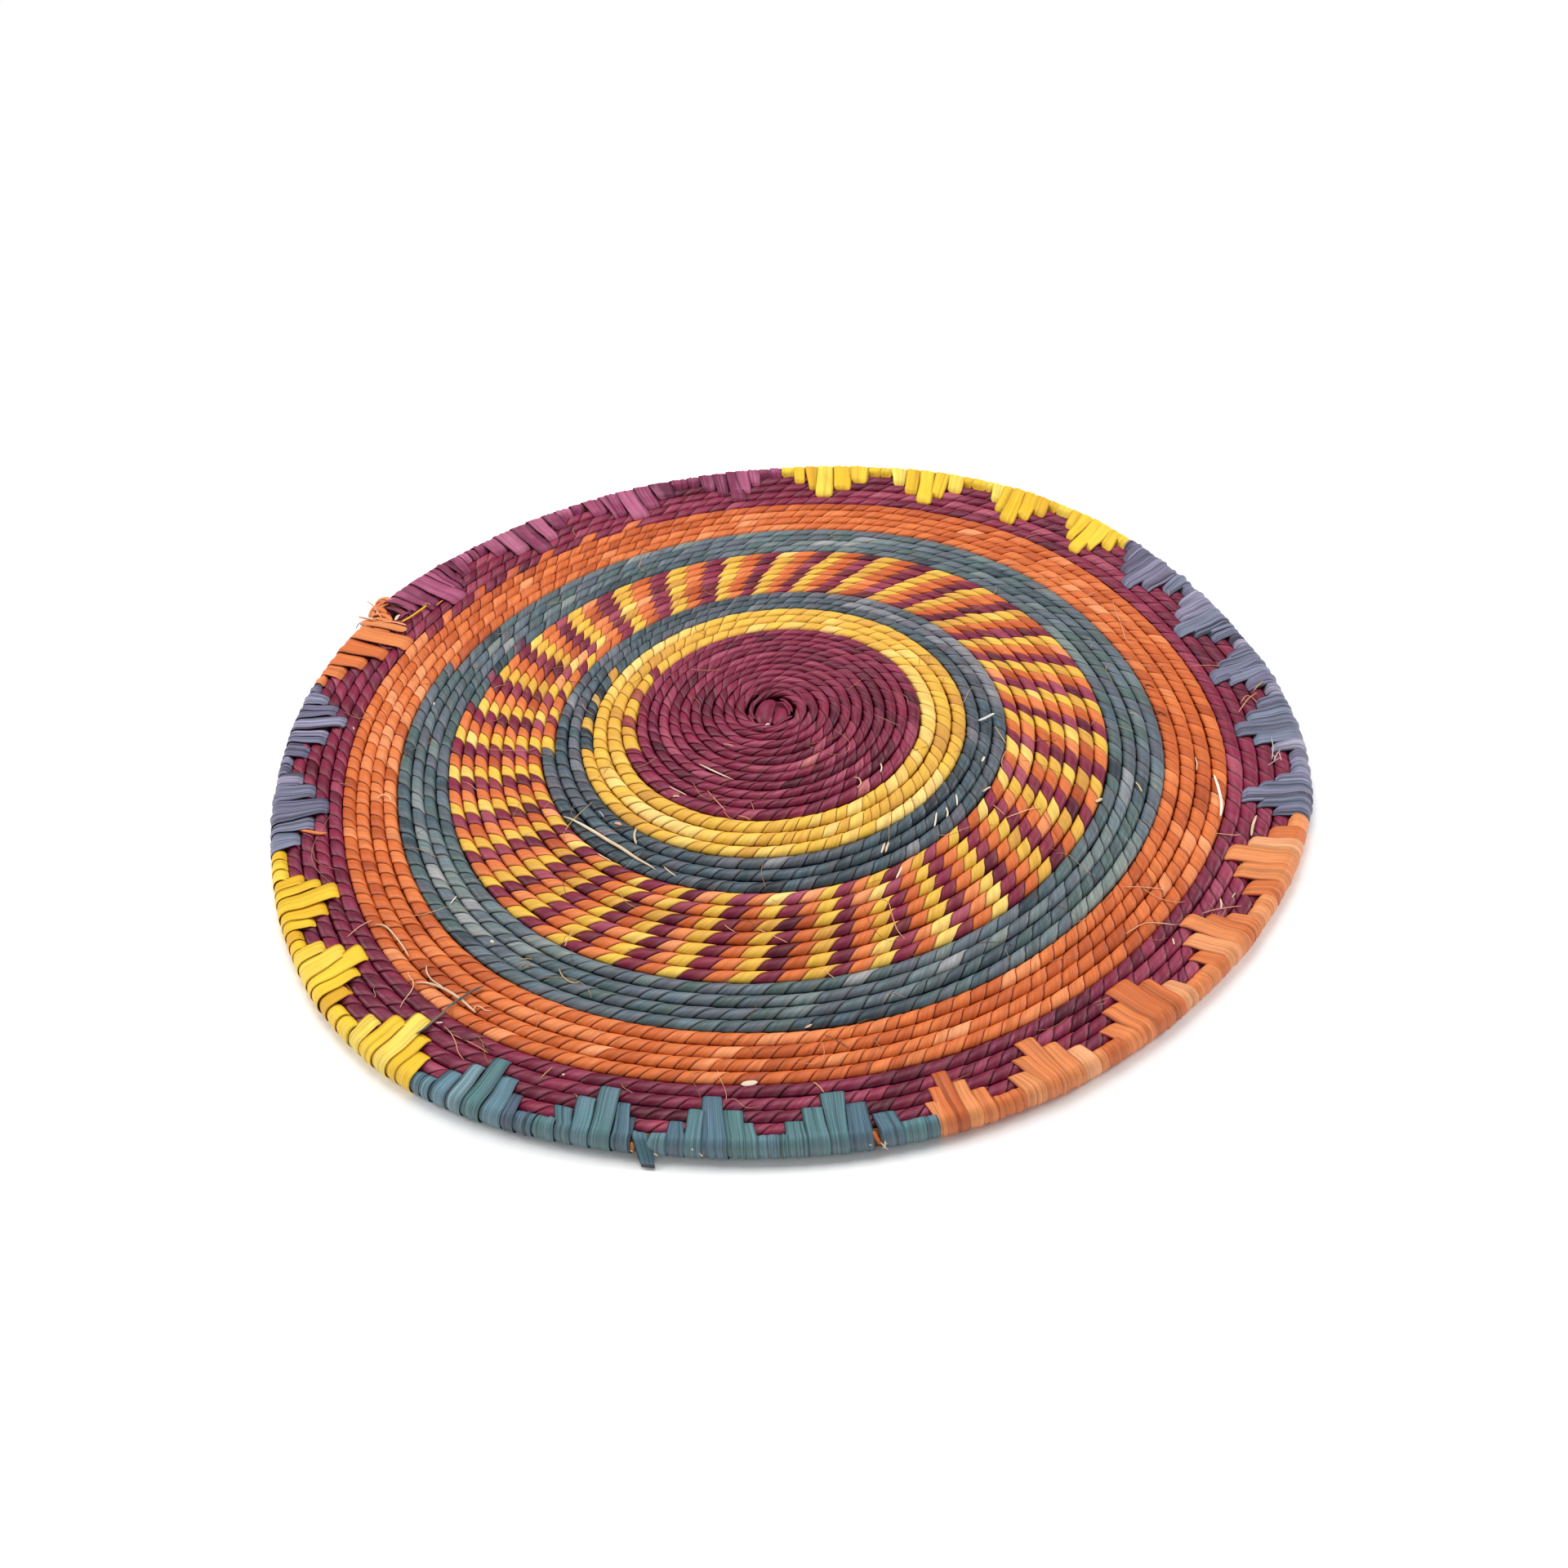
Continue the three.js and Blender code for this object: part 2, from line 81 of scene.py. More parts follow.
class Dye(Enum):
    """Dyed leaf: each has its tones from dull and dark to fresh and light."""

    PLUM = ("#4e0a22", "#6c1532", "#84203e", "#a44a60")
    YELLOW = ("#c8903a", "#dca83e", "#e8bc44", "#f4d680")
    BLUE = ("#23282e", "#353f46", "#43535a", "#50555c", "#5f5c66", "#86858a")
    SEA = ("#2e3a42", "#44525a", "#4e625e", "#5a5e68", "#647078", "#78847e", "#9c9c9c")
    ORANGE = ("#a8481c", "#c86029", "#dc773c", "#ee9c68")
    RIM_YELLOW = ("#dca624", "#ecbe2c", "#f0c938", "#f4d860")
    RIM_PLUM = ("#6a2040", "#8e3a5c", "#a85274", "#c47c96")
    RIM_ORANGE = ("#bc5c2c", "#d8763e", "#e48c52", "#f0a876")
    RIM_VIOLET = ("#564f66", "#736d88", "#7d8399", "#8c86a0", "#aca8bb")
    RIM_TEAL = ("#4a5e6c", "#527180", "#577f80", "#628493", "#829da4")
    STRAW = ("#8a6a3c", "#b48f5c", "#d2b183", "#ead6b4")
    PALE = ("#c9a987", "#dcc3a2", "#ead9c0", "#f4eadb")
    BROWN = ("#3f2413", "#5d3920", "#7b5231", "#96704a")
    GREY = ("#25262a", "#34373c", "#474b50", "#5c6266")
    ASH = ("#8b8e92", "#a6a9ac", "#c2c4c6", "#dcdcdc")
    PEACH = ("#b8764e", "#cf9068", "#dea684", "#efc6a8")
    ROSE = ("#9c4450", "#b86868", "#cc8a7a")

    def shades(self, place: np.ndarray) -> np.ndarray:
        """Colours between the dye's tones.

        Args:
            place: from 0, the dullest tone, to 1, the lightest, one for each leaf.

        Returns:
            Linear colours, one row for each leaf.
        """
        tones = np.array([linear(tone) for tone in self.value])
        steps = np.linspace(0, 1, len(tones))
        return np.stack([np.interp(place, steps, tones[:, i]) for i in range(3)], -1)

    def leaf(self, tone: float, number: float) -> np.ndarray:
        """One leaf's linear colour at a tone from 0 to 1, and its number."""
        return np.append(self.shades(np.array([tone]))[0], number)


def smooth_noise(rng: np.random.Generator, count: int, span: int) -> np.ndarray:
    """Random numbers that drift: white noise averaged over span neighbours, spread about 1 wide.

    Args:
        rng: the piece's own random source.
        count: how many numbers.
        span: over how many neighbours they hang together.

    Returns:
        The numbers, of mean 0 and a spread of 1.
    """
    raw = rng.normal(size=count + span)
    kernel = np.ones(span) / math.sqrt(span)
    return np.convolve(raw, kernel, mode="same")[:count]


@dataclass
class Shell:
    """A closed surface of four-sided faces, with the leaf's colour and the way its fibres lie.

    Attributes:
        points: places in millimetres, one row each.
        quads: the faces, as point numbers, turned outwards.
        dye: each face's linear colour, and a number that tells its leaf from the others.
        lie: for each point, millimetres across the leaf, millimetres along it, and how much painted
        shade darkens it, from 0 to 1, or how much painted sheen lightens it, from 0 to -1.
    """

    points: np.ndarray
    quads: np.ndarray
    dye: np.ndarray
    lie: np.ndarray

    @staticmethod
    def joined(shells: Sequence["Shell"]) -> "Shell":
        """Several shells as one, with the point numbers moved on."""
        starts = np.cumsum([0] + [len(shell.points) for shell in shells[:-1]])
        return Shell(
            np.concatenate([shell.points for shell in shells]),
            np.concatenate([shell.quads + start for shell, start in zip(shells, starts)]),
            np.concatenate([shell.dye for shell in shells]),
            np.concatenate([shell.lie for shell in shells]),
        )

    @staticmethod
    def of_one_leaf(grid: np.ndarray, lie: Sequence[np.ndarray], leaf: np.ndarray) -> "Shell":
        """A closed tube of one leaf.

        Args:
            grid: places, rows x columns x 3.
            lie: the three numbers of each point's lie, each spread over rows x columns.
            leaf: its linear colour and number.

        Returns:
            The tube's shell.
        """
        quads = closed_tube(grid)
        rows = np.stack(np.broadcast_arrays(*lie), -1).reshape(-1, 3)
        return Shell(grid.reshape(-1, 3), quads, np.repeat(leaf[None], len(quads), 0), rows)


def closed_tube(grid: np.ndarray) -> np.ndarray:
    """Faces of a tube whose rows are closed loops, with both ends shut.

    The quad between rows i, i + 1 and columns j, j + 1 has the points (i, j), (i, j + 1),
    (i + 1, j + 1), (i + 1, j). An end is a ladder of quads from point k to the loop's mirrored
    point, so a loop has an even number of points. A tube that came out inside out is turned.

    Args:
        grid: places, rows x columns x 3.

    Returns:
        The faces as point numbers, with the side faces first, row by row.
    """
    rows, columns = grid.shape[:2]
    number = np.arange(rows * columns).reshape(rows, columns)
    here, after = number[:-1], number[1:]
    sides = np.stack([here, np.roll(here, -1, 1), np.roll(after, -1, 1), after], -1).reshape(-1, 4)
    k = np.arange(columns // 2 - 1)
    rungs = np.stack([k, columns - 1 - k, columns - 2 - k, k + 1], -1)
    quads = np.concatenate([sides, number[0][rungs], number[-1][rungs[:, ::-1]]])
    flat = grid.reshape(-1, 3) - grid.reshape(-1, 3).mean(0)
    a, b, c, d = (flat[quads[:, i]] for i in range(4))
    volume = np.sum(np.cross(a, b) * c) + np.sum(np.cross(a, c) * d)
    return quads if volume > 0 else quads[:, ::-1]


def far_along(line: np.ndarray) -> np.ndarray:
    """How far along a line each of its points lies."""
    return np.concatenate([[0], np.cumsum(np.linalg.norm(np.diff(line, axis=0), axis=1))])


def squarish(wave: np.ndarray, fullness: float) -> np.ndarray:
    """An oval's cosine or sine made squarer: its sign times its size to a power below 1."""
    return np.sign(wave) * np.abs(wave) ** fullness


def smooth_way(corners: np.ndarray, reach: float, count: int) -> np.ndarray:
    """A line through corners with its bends rounded.

    The line is cut into short steps, each point is averaged twice with its neighbours within
    reach, and count points are picked at equal lengths along it.

    Args:
        corners: the corners, one row each.
        reach: the width of the rounding, in millimetres.
        count: how many points to give back.

    Returns:
        The rounded line's points.
    """
    def by_length(line: np.ndarray, many: int) -> np.ndarray:
        far = far_along(line)
        at = np.linspace(0, far[-1], many)
        return np.stack([np.interp(at, far, line[:, i]) for i in range(line.shape[1])], -1)

    length = np.linalg.norm(np.diff(corners, axis=0), axis=1).sum()
    fine = by_length(corners, max(int(length / 0.1), count))
    width = max(int(reach / 0.1) | 1, 3)
    kernel = np.ones(width) / width
    for _ in range(2):
        padded = np.pad(fine, ((width // 2, width // 2), (0, 0)), mode="edge")
        fine = np.stack([np.convolve(padded[:, i], kernel, "valid") for i in range(fine.shape[1])], -1)
    return by_length(fine, count)


@dataclass(frozen=True)
class Band:
    """One length of the coil, wrapped in leaf of its own.

    Attributes:
        node: the CAD node's name.
        slot: the record's material slot.
        rounds: how many rounds it winds.
        pitch: the width that a round takes up.
        dye: the leaf's colour.
        wrap: the length of coil that one wrap covers.
        slant: how far a wrap's edge runs back along the coil, from its outer to its inner side.
    """

    node: str
    slot: str
    rounds: float
    pitch: float
    dye: Dye
    wrap: float
    slant: float


CENTRE = Band("centre_plum_coil", "plum_leaf", 11.01, 3.99, Dye.PLUM, 6.1, 7.0)
YELLOW = Band("yellow_coil", "yellow_leaf", 3.03, 5.51, Dye.YELLOW, 6.0, 5.6)
INNER_BLUE = Band("inner_blue_coil", "blue_leaf", 3.01, 4.74, Dye.BLUE, 6.1, 5.8)
CHECKER = Band("checker_coil", "checker_leaf", 7.05, 5.17, Dye.YELLOW, 6.3, 8.0)
OUTER_BLUE = Band("outer_blue_coil", "blue_leaf", 4.03, 4.87, Dye.SEA, 8.2, 8.0)
ORANGE = Band("orange_coil", "orange_leaf", 4.02, 5.34, Dye.ORANGE, 6.3, 6.6)
BORDER = Band("plum_border_coil", "plum_leaf", 3.994, 5.42, Dye.PLUM, 7.2, 8.0)
BANDS = (CENTRE, YELLOW, INNER_BLUE, CHECKER, OUTER_BLUE, ORANGE, BORDER)
RIM_PITCH = 5.6


@dataclass
class Course:
    """The way of the coil over the plate, and the plate's dome.

    Turns go clockwise and outwards. A row's outer edge is the inner edge one turn later. Angles that
    were read off the photograph were read about reading_point, a point beside the coil's centre.

    Attributes:
        knot_edge: radius at which the first row starts.
        seam_angle: where the coil ends.
        gap: between rows.
        row_height: of the coil.
        dome_rise: how far the plate's middle lies over its rim.
        flat_border: width of the level part inside the rim round.
        rim_height: of the rim's bundle.
        rim_lift: how far that lies over the floor.
        swell_rounds: length of the rim round's wider first stretch, in turns.
        swell_width: how much wider it is.
        taper_rounds: length of its thinning last stretch, in turns.
        taper_width: how much width it loses.
        taper_height: how much height it loses.
        skin: room for the strips over the bundle.
        out_of_round: waves round the outline: the number, size and phase of each.
        reading_point: from the coil's centre.
        centre: the coil's, from the plate's origin.
    """

    knot_edge: float = 6.0
    seam_angle: float = 143.16
    gap: float = 0.5
    row_height: float = 4.8
    dome_rise: float = 22.0
    flat_border: float = 5.5
    rim_height: float = 6.6
    rim_lift: float = 0.95
    swell_rounds: float = 0.047
    swell_width: float = 3.9
    taper_rounds: float = 0.14
    taper_width: float = 3.6
    taper_height: float = 1.6
    skin: float = 0.8
    out_of_round: tuple[tuple[int, float, float], ...] = (
        (1, 1.1, 83), (2, 0.75, 82), (3, 1.4, 37), (4, 1.8, 154), (5, 1.1, 28), (6, 0.9, 78))
    reading_point: tuple[float, float] = (-1.15, -2.23)
    centre: np.ndarray = field(init=False)

    def __post_init__(self) -> None:
        """Takes the coil's centre from the frame: the knot's highest point lies on it."""
        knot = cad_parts["start_knot"]
        places = np.empty(len(knot.data.vertices) * 3)
        knot.data.vertices.foreach_get("co", places)
        places = places.reshape(-1, 3) @ np.array(knot.matrix_world.to_3x3()).T
        top = places[places[:, 2].argmax()] + np.array(knot.matrix_world.translation)
        self.centre = np.array([top[0], top[1], 0]) / METRES
        self.starts = np.cumsum([0] + [band.rounds for band in BANDS])
        self.rim_start = float(self.starts[-1])
        self.rim_end = self.rim_start + 1
        self.start_angle = self.seam_angle + 360 * (self.rim_end % 1)
        edge = self.inner_edge(np.array([self.rim_start, self.rim_start + 2]))
        self.rim_radius = float(edge.mean())
        self.dome_radius = float(edge[0]) - self.flat_border
        self.rim_middle = self.rim_height / 2 + self.rim_lift

    def inner_edge(self, turn: np.ndarray) -> np.ndarray:
        """Radius of the coil's inner edge: the knot's, plus each band's pitch times its rounds."""
        radius = np.full_like(turn, self.knot_edge, dtype=float)
        for band, start in zip(BANDS, self.starts):
            radius += band.pitch * np.clip(turn - start, 0, band.rounds)
        return radius + RIM_PITCH * np.maximum(turn - self.starts[-1], 0)

    def middle_height(self, radius: np.ndarray) -> np.ndarray:
        """Height of the coil's middle: half a cosine wave from the centre to the flat border."""
        share = np.minimum(radius / self.dome_radius, 1)
        return self.rim_middle + self.dome_rise / 2 * (1 + np.cos(math.pi * share))

    def slope(self, radius: np.ndarray) -> np.ndarray:
        """How steeply the dome falls, in radians: the angle of middle_height's slope."""
        share = np.minimum(radius / self.dome_radius, 1)
        return np.arctan(self.dome_rise / 2 * math.pi / self.dome_radius * np.sin(math.pi * share))

    def angle(self, turn: np.ndarray) -> np.ndarray:
        """The angle at which a turn lies."""
        return self.start_angle - 360 * turn

    def turn_near(self, angle: float, least: float) -> float:
        """The first turn from least on that lies at an angle."""
        turn = (self.start_angle - angle) / 360
        return turn + math.ceil(least - turn)

    def unevenness(self, turned: np.ndarray) -> np.ndarray:
        """How far the outline lies out at an angle in radians: a few waves round the plate."""
        return sum(size * np.cos(lobes * turned + math.radians(phase))
                   for lobes, size, phase in self.out_of_round)

    def place(self, angle: np.ndarray, radius: np.ndarray, height: np.ndarray) -> np.ndarray:
        """Places on the plate: the radius grows by a few waves round the outline, less inwards.

        Args:
            angle: degrees.
            radius: distance from the coil's centre.
            height: height above the floor.

        Returns:
            Places in millimetres, with a last axis of 3.
        """
        turned = np.radians(angle)
        far = radius + self.unevenness(turned) * (radius / self.rim_radius) ** 3
        return np.stack([far * np.cos(turned), far * np.sin(turned), height], -1) + self.centre

    def seen_angle(self, angle: Any, radius: Any) -> Any:
        """An angle read about the reading point, as the angle about the coil's centre.

        The point lies across the line of sight by x * sin - y * cos, and that over the radius is
        the difference.
        """
        turned = np.radians(angle)
        x, y = self.reading_point
        return angle + np.degrees((y * np.cos(turned) - x * np.sin(turned)) / radius)

    def taper(self, turn: np.ndarray) -> np.ndarray:
        """How far along its last, thinning stretch the rim round is, from 0 to 1."""
        return np.clip((turn - self.rim_end + self.taper_rounds) / self.taper_rounds, 0, 1)

    def row(self, turn: np.ndarray) -> tuple[np.ndarray, np.ndarray]:
        """The radius of a row's middle at a turn, and half the row's width."""
        inner = self.inner_edge(turn) + self.gap / 2
        outer = self.inner_edge(turn + 1) - self.gap / 2
        return (inner + outer) / 2, (outer - inner) / 2

    def rim_row(self, turn: np.ndarray) -> tuple[np.ndarray, np.ndarray, np.ndarray]:
        """The rim round at a turn: the radius of its middle, half its width and half its height.

        Its outer side lies further out over its first stretch, and further in over its last one.
        """
        middle, half = self.row(turn)
        swell = self.swell_width * np.maximum(0, 1 - (turn - self.rim_start) / self.swell_rounds)
        change = (swell - self.taper_width * self.taper(turn)) / 2
        return middle + change, half + change, (self.rim_height - self.taper_height * self.taper(turn)) / 2

    def top(self, radius: np.ndarray) -> np.ndarray:
        """Height of the rows' tops at a radius."""
        return self.middle_height(radius) + self.row_height / 2

    def unrolled(self, x: np.ndarray, y: np.ndarray) -> tuple[np.ndarray, np.ndarray]:
        """The turn below 1 and the radius in the round plate of a place: the reverse of place."""
        x, y = x - self.centre[0], y - self.centre[1]
        angle, far = np.arctan2(y, x), np.hypot(x, y)
        turn = (self.start_angle - np.degrees(angle)) / 360
        return turn - np.floor(turn), far - self.unevenness(angle) * (far / self.rim_radius) ** 3

    def cover(self, x: np.ndarray, y: np.ndarray) -> np.ndarray:
        """Height of what lies on top: the rows' tops, and the bound rim's oval beyond them.

        The oval is
        height = middle + (rise + skin) * sqrt(1 - (off / (half + skin)) ** 2), off the rim's middle.

        Args:
            x: places, from the origin.
            y: places, from the origin.

        Returns:
            Heights, or -1 where nothing lies.
        """
        turn, radius = self.unrolled(x, y)
        turn = turn + np.ceil(self.rim_start - turn)
        middle, half, rise = self.rim_row(turn)
        off = (radius - middle) / (half + self.skin)
        oval = self.rim_middle + (rise + self.skin) * np.sqrt(np.maximum(1 - off ** 2, 0))
        return np.where(off < -1, self.top(radius), np.where(off < 1, oval, -1))


@dataclass(frozen=True)
class LeafFinish:
    """Dyed leaf, split, soaked and pulled tight: fine ribs along the leaf, satin, and blotchy dye.

    Attributes:
        name: the material's name.
        slot: the record's material slot.
        roughness: how dull the sheen is.
        rib: width of a fibre, in millimetres.
        run: how far one streak runs along the leaf.
        contrast: how much lighter and darker the streaks are than the dye.
        blotch: the dye's second colour.
        blotch_size: size of the blotches, in millimetres.
        blotch_share: how strong the blotches are.
        relief: height of the ribs, in millimetres.
        pleat: width of a fold along the leaf, or 0.
        pleat_relief: height of the folds, in millimetres.
        crease_shade: how dark the painted shade along the folds' bottoms is.
    """

    name: str
    slot: str
    roughness: float
    rib: float
    run: float
    contrast: float
    blotch: str
    blotch_size: float
    blotch_share: float
    relief: float
    pleat: float = 0.0
    pleat_relief: float = 0.0
    crease_shade: float = 0.0


PLUM_LEAF = LeafFinish(
    "leaf_dyed_plum_wrapped", "plum_leaf", roughness=0.36, rib=1.0, run=9, contrast=0.30,
    blotch="#a04a6a", blotch_size=4, blotch_share=0.35, relief=0.10)
YELLOW_LEAF = LeafFinish(
    "leaf_dyed_yellow_wrapped", "yellow_leaf", roughness=0.42, rib=1.0, run=9, contrast=0.16,
    blotch="#d88a3c", blotch_size=5, blotch_share=0.4, relief=0.09)
BLUE_LEAF = LeafFinish(
    "leaf_dyed_blue_wrapped", "blue_leaf", roughness=0.36, rib=1.0, run=9, contrast=0.36,
    blotch="#5c7480", blotch_size=5, blotch_share=0.5, relief=0.10)
CHECKER_LEAF = LeafFinish(
    "leaf_dyed_by_turns_wrapped", "checker_leaf", roughness=0.42, rib=1.0, run=9, contrast=0.20,
    blotch="#c06a48", blotch_size=5, blotch_share=0.15, relief=0.09)
ORANGE_LEAF = LeafFinish(
    "leaf_dyed_orange_wrapped", "orange_leaf", roughness=0.42, rib=1.0, run=9, contrast=0.24,
    blotch="#b4541f", blotch_size=5, blotch_share=0.4, relief=0.10)
RIM_YELLOW_LEAF = LeafFinish(
    "strip_dyed_yellow_flat", "rim_yellow_leaf", roughness=0.44, rib=0.45, run=40, contrast=0.20,
    blotch="#e0a024", blotch_size=6, blotch_share=0.35, relief=0.07,
    pleat=1.2, pleat_relief=0.10, crease_shade=0.22)
RIM_PLUM_LEAF = LeafFinish(
    "strip_dyed_plum_flat", "rim_plum_leaf", roughness=0.42, rib=0.45, run=40, contrast=0.42,
    blotch="#c47898", blotch_size=6, blotch_share=0.4, relief=0.08,
    pleat=1.1, pleat_relief=0.14, crease_shade=0.35)
RIM_ORANGE_LEAF = LeafFinish(
    "strip_dyed_orange_flat", "rim_orange_leaf", roughness=0.44, rib=0.45, run=40, contrast=0.30,
    blotch="#c26a3c", blotch_size=6, blotch_share=0.35, relief=0.08,
    pleat=1.1, pleat_relief=0.20, crease_shade=0.25)
RIM_VIOLET_LEAF = LeafFinish(
    "strip_dyed_violet_flat", "rim_violet_leaf", roughness=0.46, rib=0.4, run=40, contrast=0.68,
    blotch="#5e6a78", blotch_size=5, blotch_share=0.35, relief=0.10,
    pleat=1.0, pleat_relief=0.42, crease_shade=0.62)
RIM_TEAL_LEAF = LeafFinish(
    "strip_dyed_teal_flat", "rim_teal_leaf", roughness=0.46, rib=0.4, run=40, contrast=0.52,
    blotch="#66748c", blotch_size=6, blotch_share=0.35, relief=0.09,
    pleat=0.9, pleat_relief=0.20, crease_shade=0.42)
BUNDLE_FIBRE = LeafFinish(
    "grass_and_palm_fibre_undyed", "fibre_bundle", roughness=0.75, rib=0.5, run=20, contrast=0.4,
    blotch="#4b3520", blotch_size=5, blotch_share=0.5, relief=0.2)
DRY_FIBRE = LeafFinish(
    "straw_and_fibre_loose", "fibre_bundle", roughness=0.6, rib=0.3, run=12, contrast=0.2,
    blotch="#b08a5c", blotch_size=6, blotch_share=0.3, relief=0.04)


def add_node(tree: bpy.types.NodeTree, kind: str, inputs: dict[Any, Any] | None = None,
             **settings: Any) -> bpy.types.Node:
    """Adds a node with its settings, input values and links.

    Args:
        tree: the material's or world's nodes.
        kind: the node's type.
        inputs: for each input's name or number, a value, or another node's output to link.
        settings: the node's own properties.

    Returns:
        The new node.
    """
    node = tree.nodes.new(kind)
    for name, value in settings.items():
        setattr(node, name, value)
    for name, value in (inputs or {}).items():
        if isinstance(value, bpy.types.NodeSocket):
            tree.links.new(value, node.inputs[name])
        else:
            node.inputs[name].default_value = value
    return node


def placed(name: str, data: bpy.types.ID) -> bpy.types.Object:
    """An object of the scene that shows a mesh, a light or a camera."""
    item = bpy.data.objects.new(name, data)
    bpy.context.scene.collection.objects.link(item)
    return item


# Painted sheen: the linear light added to the dye just past a wrap's seam and where a strip bends round the
# rim, in place of a highlight
PAINTED_SHEEN = (0.05, 0.036, 0.032)

# Painted shade: the share of the dye's light that is left where leaf lies against leaf, in seams, grooves
# and under strip edges
PAINTED_SHADE = (0.42, 0.32, 0.32)

# Sockets of a colour Mix node
MIX_SHARE, MIX_A, MIX_B, MIX_RESULT = 0, 6, 7, 2


def leaf_material(finish: LeafFinish) -> bpy.types.Material:
    """Builds the material of dyed leaf.

    The dye comes with each face. Long thin noise across the leaf gives the ribs' streaks and
    relief, wider noise gives the folds, with painted shade along their bottoms, and a soft noise
    gives each leaf its own blotches. Where a leaf is tucked in beside the next one, in the seams
    between wraps and the grooves between rows, painted shade stands in for the light that reaches it
    by way of dyed leaf only: it is darker and fuller in colour, the dye's colour times itself. Where
    it stands proud a painted sheen makes it paler, in place of a highlight.

    Args:
        finish: the leaf's colours and sizes.

    Returns:
        The material.
    """
    material = bpy.data.materials.new(finish.name)
    material.use_nodes = True
    tree = material.node_tree
    tree.nodes.clear()
    dye = add_node(tree, "ShaderNodeAttribute", attribute_name="dye")
    lie = add_node(tree, "ShaderNodeAttribute", attribute_name="lie")
    parts = add_node(tree, "ShaderNodeSeparateXYZ", {0: lie.outputs["Vector"]})
    lane = add_node(tree, "ShaderNodeCombineXYZ",
                    {0: parts.outputs[0], 1: parts.outputs[1], 2: dye.outputs["Alpha"]})
    ribs = add_node(tree, "ShaderNodeVectorMath",
                    {0: lane.outputs[0], 1: (1 / finish.rib, 1 / finish.run, 1.0)}, operation="MULTIPLY")
    streak = add_node(tree, "ShaderNodeTexNoise",
                      {"Vector": ribs.outputs[0], "Scale": 1.0, "Detail": 3.0, "Roughness": 0.6})
    tint = add_node(tree, "ShaderNodeMapRange", {
        "Value": streak.outputs[0], "From Min": 0.3, "From Max": 0.7,
        "To Min": 1 - finish.contrast, "To Max": 1 + finish.contrast * 0.7})
    patch = add_node(tree, "ShaderNodeVectorMath", {
        0: lane.outputs[0], 1: (1 / finish.blotch_size, 0.5 / finish.blotch_size, 3.1)},
        operation="MULTIPLY")
    spots = add_node(tree, "ShaderNodeTexNoise", {
        "Vector": patch.outputs[0], "Scale": 1.0, "Detail": 3.0})
    blotch = add_node(tree, "ShaderNodeMapRange", {
        "Value": spots.outputs[0], "From Min": 0.46, "From Max": 0.70,
        "To Min": 0.0, "To Max": finish.blotch_share})
    dyed = add_node(tree, "ShaderNodeMix", {
        MIX_SHARE: blotch.outputs[0], MIX_A: dye.outputs["Color"],
        MIX_B: (*linear(finish.blotch), 1)}, data_type="RGBA")
    streaked = add_node(tree, "ShaderNodeMix", {
        MIX_SHARE: 1.0, MIX_A: dyed.outputs[MIX_RESULT], MIX_B: tint.outputs[0]},
        data_type="RGBA", blend_type="MULTIPLY")
    if finish.pleat:
        folds = add_node(tree, "ShaderNodeVectorMath", {
            0: lane.outputs[0], 1: (1 / finish.pleat, 1 / (3 * finish.run), 1.7)}, operation="MULTIPLY")
        fold = add_node(tree, "ShaderNodeTexNoise",
                        {"Vector": folds.outputs[0], "Scale": 1.0, "Detail": 1.0})
        # Painted shade along the bottoms of the folds
        fold_shade = add_node(tree, "ShaderNodeMapRange", {
            "Value": fold.outputs[0], "From Min": 0.34, "From Max": 0.46,
            "To Min": 1 - finish.crease_shade, "To Max": 1.0})
        streaked = add_node(tree, "ShaderNodeMix", {
            MIX_SHARE: 1.0, MIX_A: streaked.outputs[MIX_RESULT], MIX_B: fold_shade.outputs[0]},
            data_type="RGBA", blend_type="MULTIPLY")
    # Painted shade where leaf lies against leaf: darker and fuller in colour
    tucked = add_node(tree, "ShaderNodeMapRange", {
        "Value": parts.outputs[2], "From Min": 0.05, "From Max": 0.8, "To Min": 0.0, "To Max": 1.0})
    deep = add_node(tree, "ShaderNodeMix", {
        MIX_SHARE: 1.0, MIX_A: dyed.outputs[MIX_RESULT], MIX_B: (*PAINTED_SHADE, 1)},
        data_type="RGBA", blend_type="MULTIPLY")
    # Painted sheen: paler where the lie's third number falls below 0
    sheen_share = add_node(tree, "ShaderNodeMapRange", {
        "Value": parts.outputs[2], "From Min": 0.0, "From Max": -1.0, "To Min": 0.0, "To Max": 1.0})
    with_sheen = add_node(tree, "ShaderNodeMix", {
        MIX_SHARE: sheen_share.outputs[0], MIX_A: streaked.outputs[MIX_RESULT], MIX_B: (*PAINTED_SHEEN, 1)},
        data_type="RGBA", blend_type="ADD")
    edged = add_node(tree, "ShaderNodeMix", {
        MIX_SHARE: tucked.outputs[0], MIX_A: with_sheen.outputs[MIX_RESULT],
        MIX_B: deep.outputs[MIX_RESULT]}, data_type="RGBA", blend_type="MULTIPLY")
    bump = add_node(tree, "ShaderNodeBump", {
        "Height": streak.outputs[0], "Strength": 0.8, "Distance": finish.relief * METRES})
    if finish.pleat:
        bump = add_node(tree, "ShaderNodeBump", {
            "Height": fold.outputs[0], "Strength": 0.9, "Distance": finish.pleat_relief * METRES,
            "Normal": bump.outputs[0]})
    gloss = add_node(tree, "ShaderNodeMapRange", {
        "Value": streak.outputs[0], "From Min": 0.3, "From Max": 0.7,
        "To Min": finish.roughness + 0.14, "To Max": finish.roughness - 0.02})
    shader = add_node(tree, "ShaderNodeBsdfPrincipled", {
        "Base Color": edged.outputs[MIX_RESULT], "Roughness": gloss.outputs[0],
        "Normal": bump.outputs[0], "IOR": 1.45, "Specular IOR Level": 0.26, "Metallic": 0.0})
    add_node(tree, "ShaderNodeOutputMaterial", {"Surface": shader.outputs[0]})
    return material


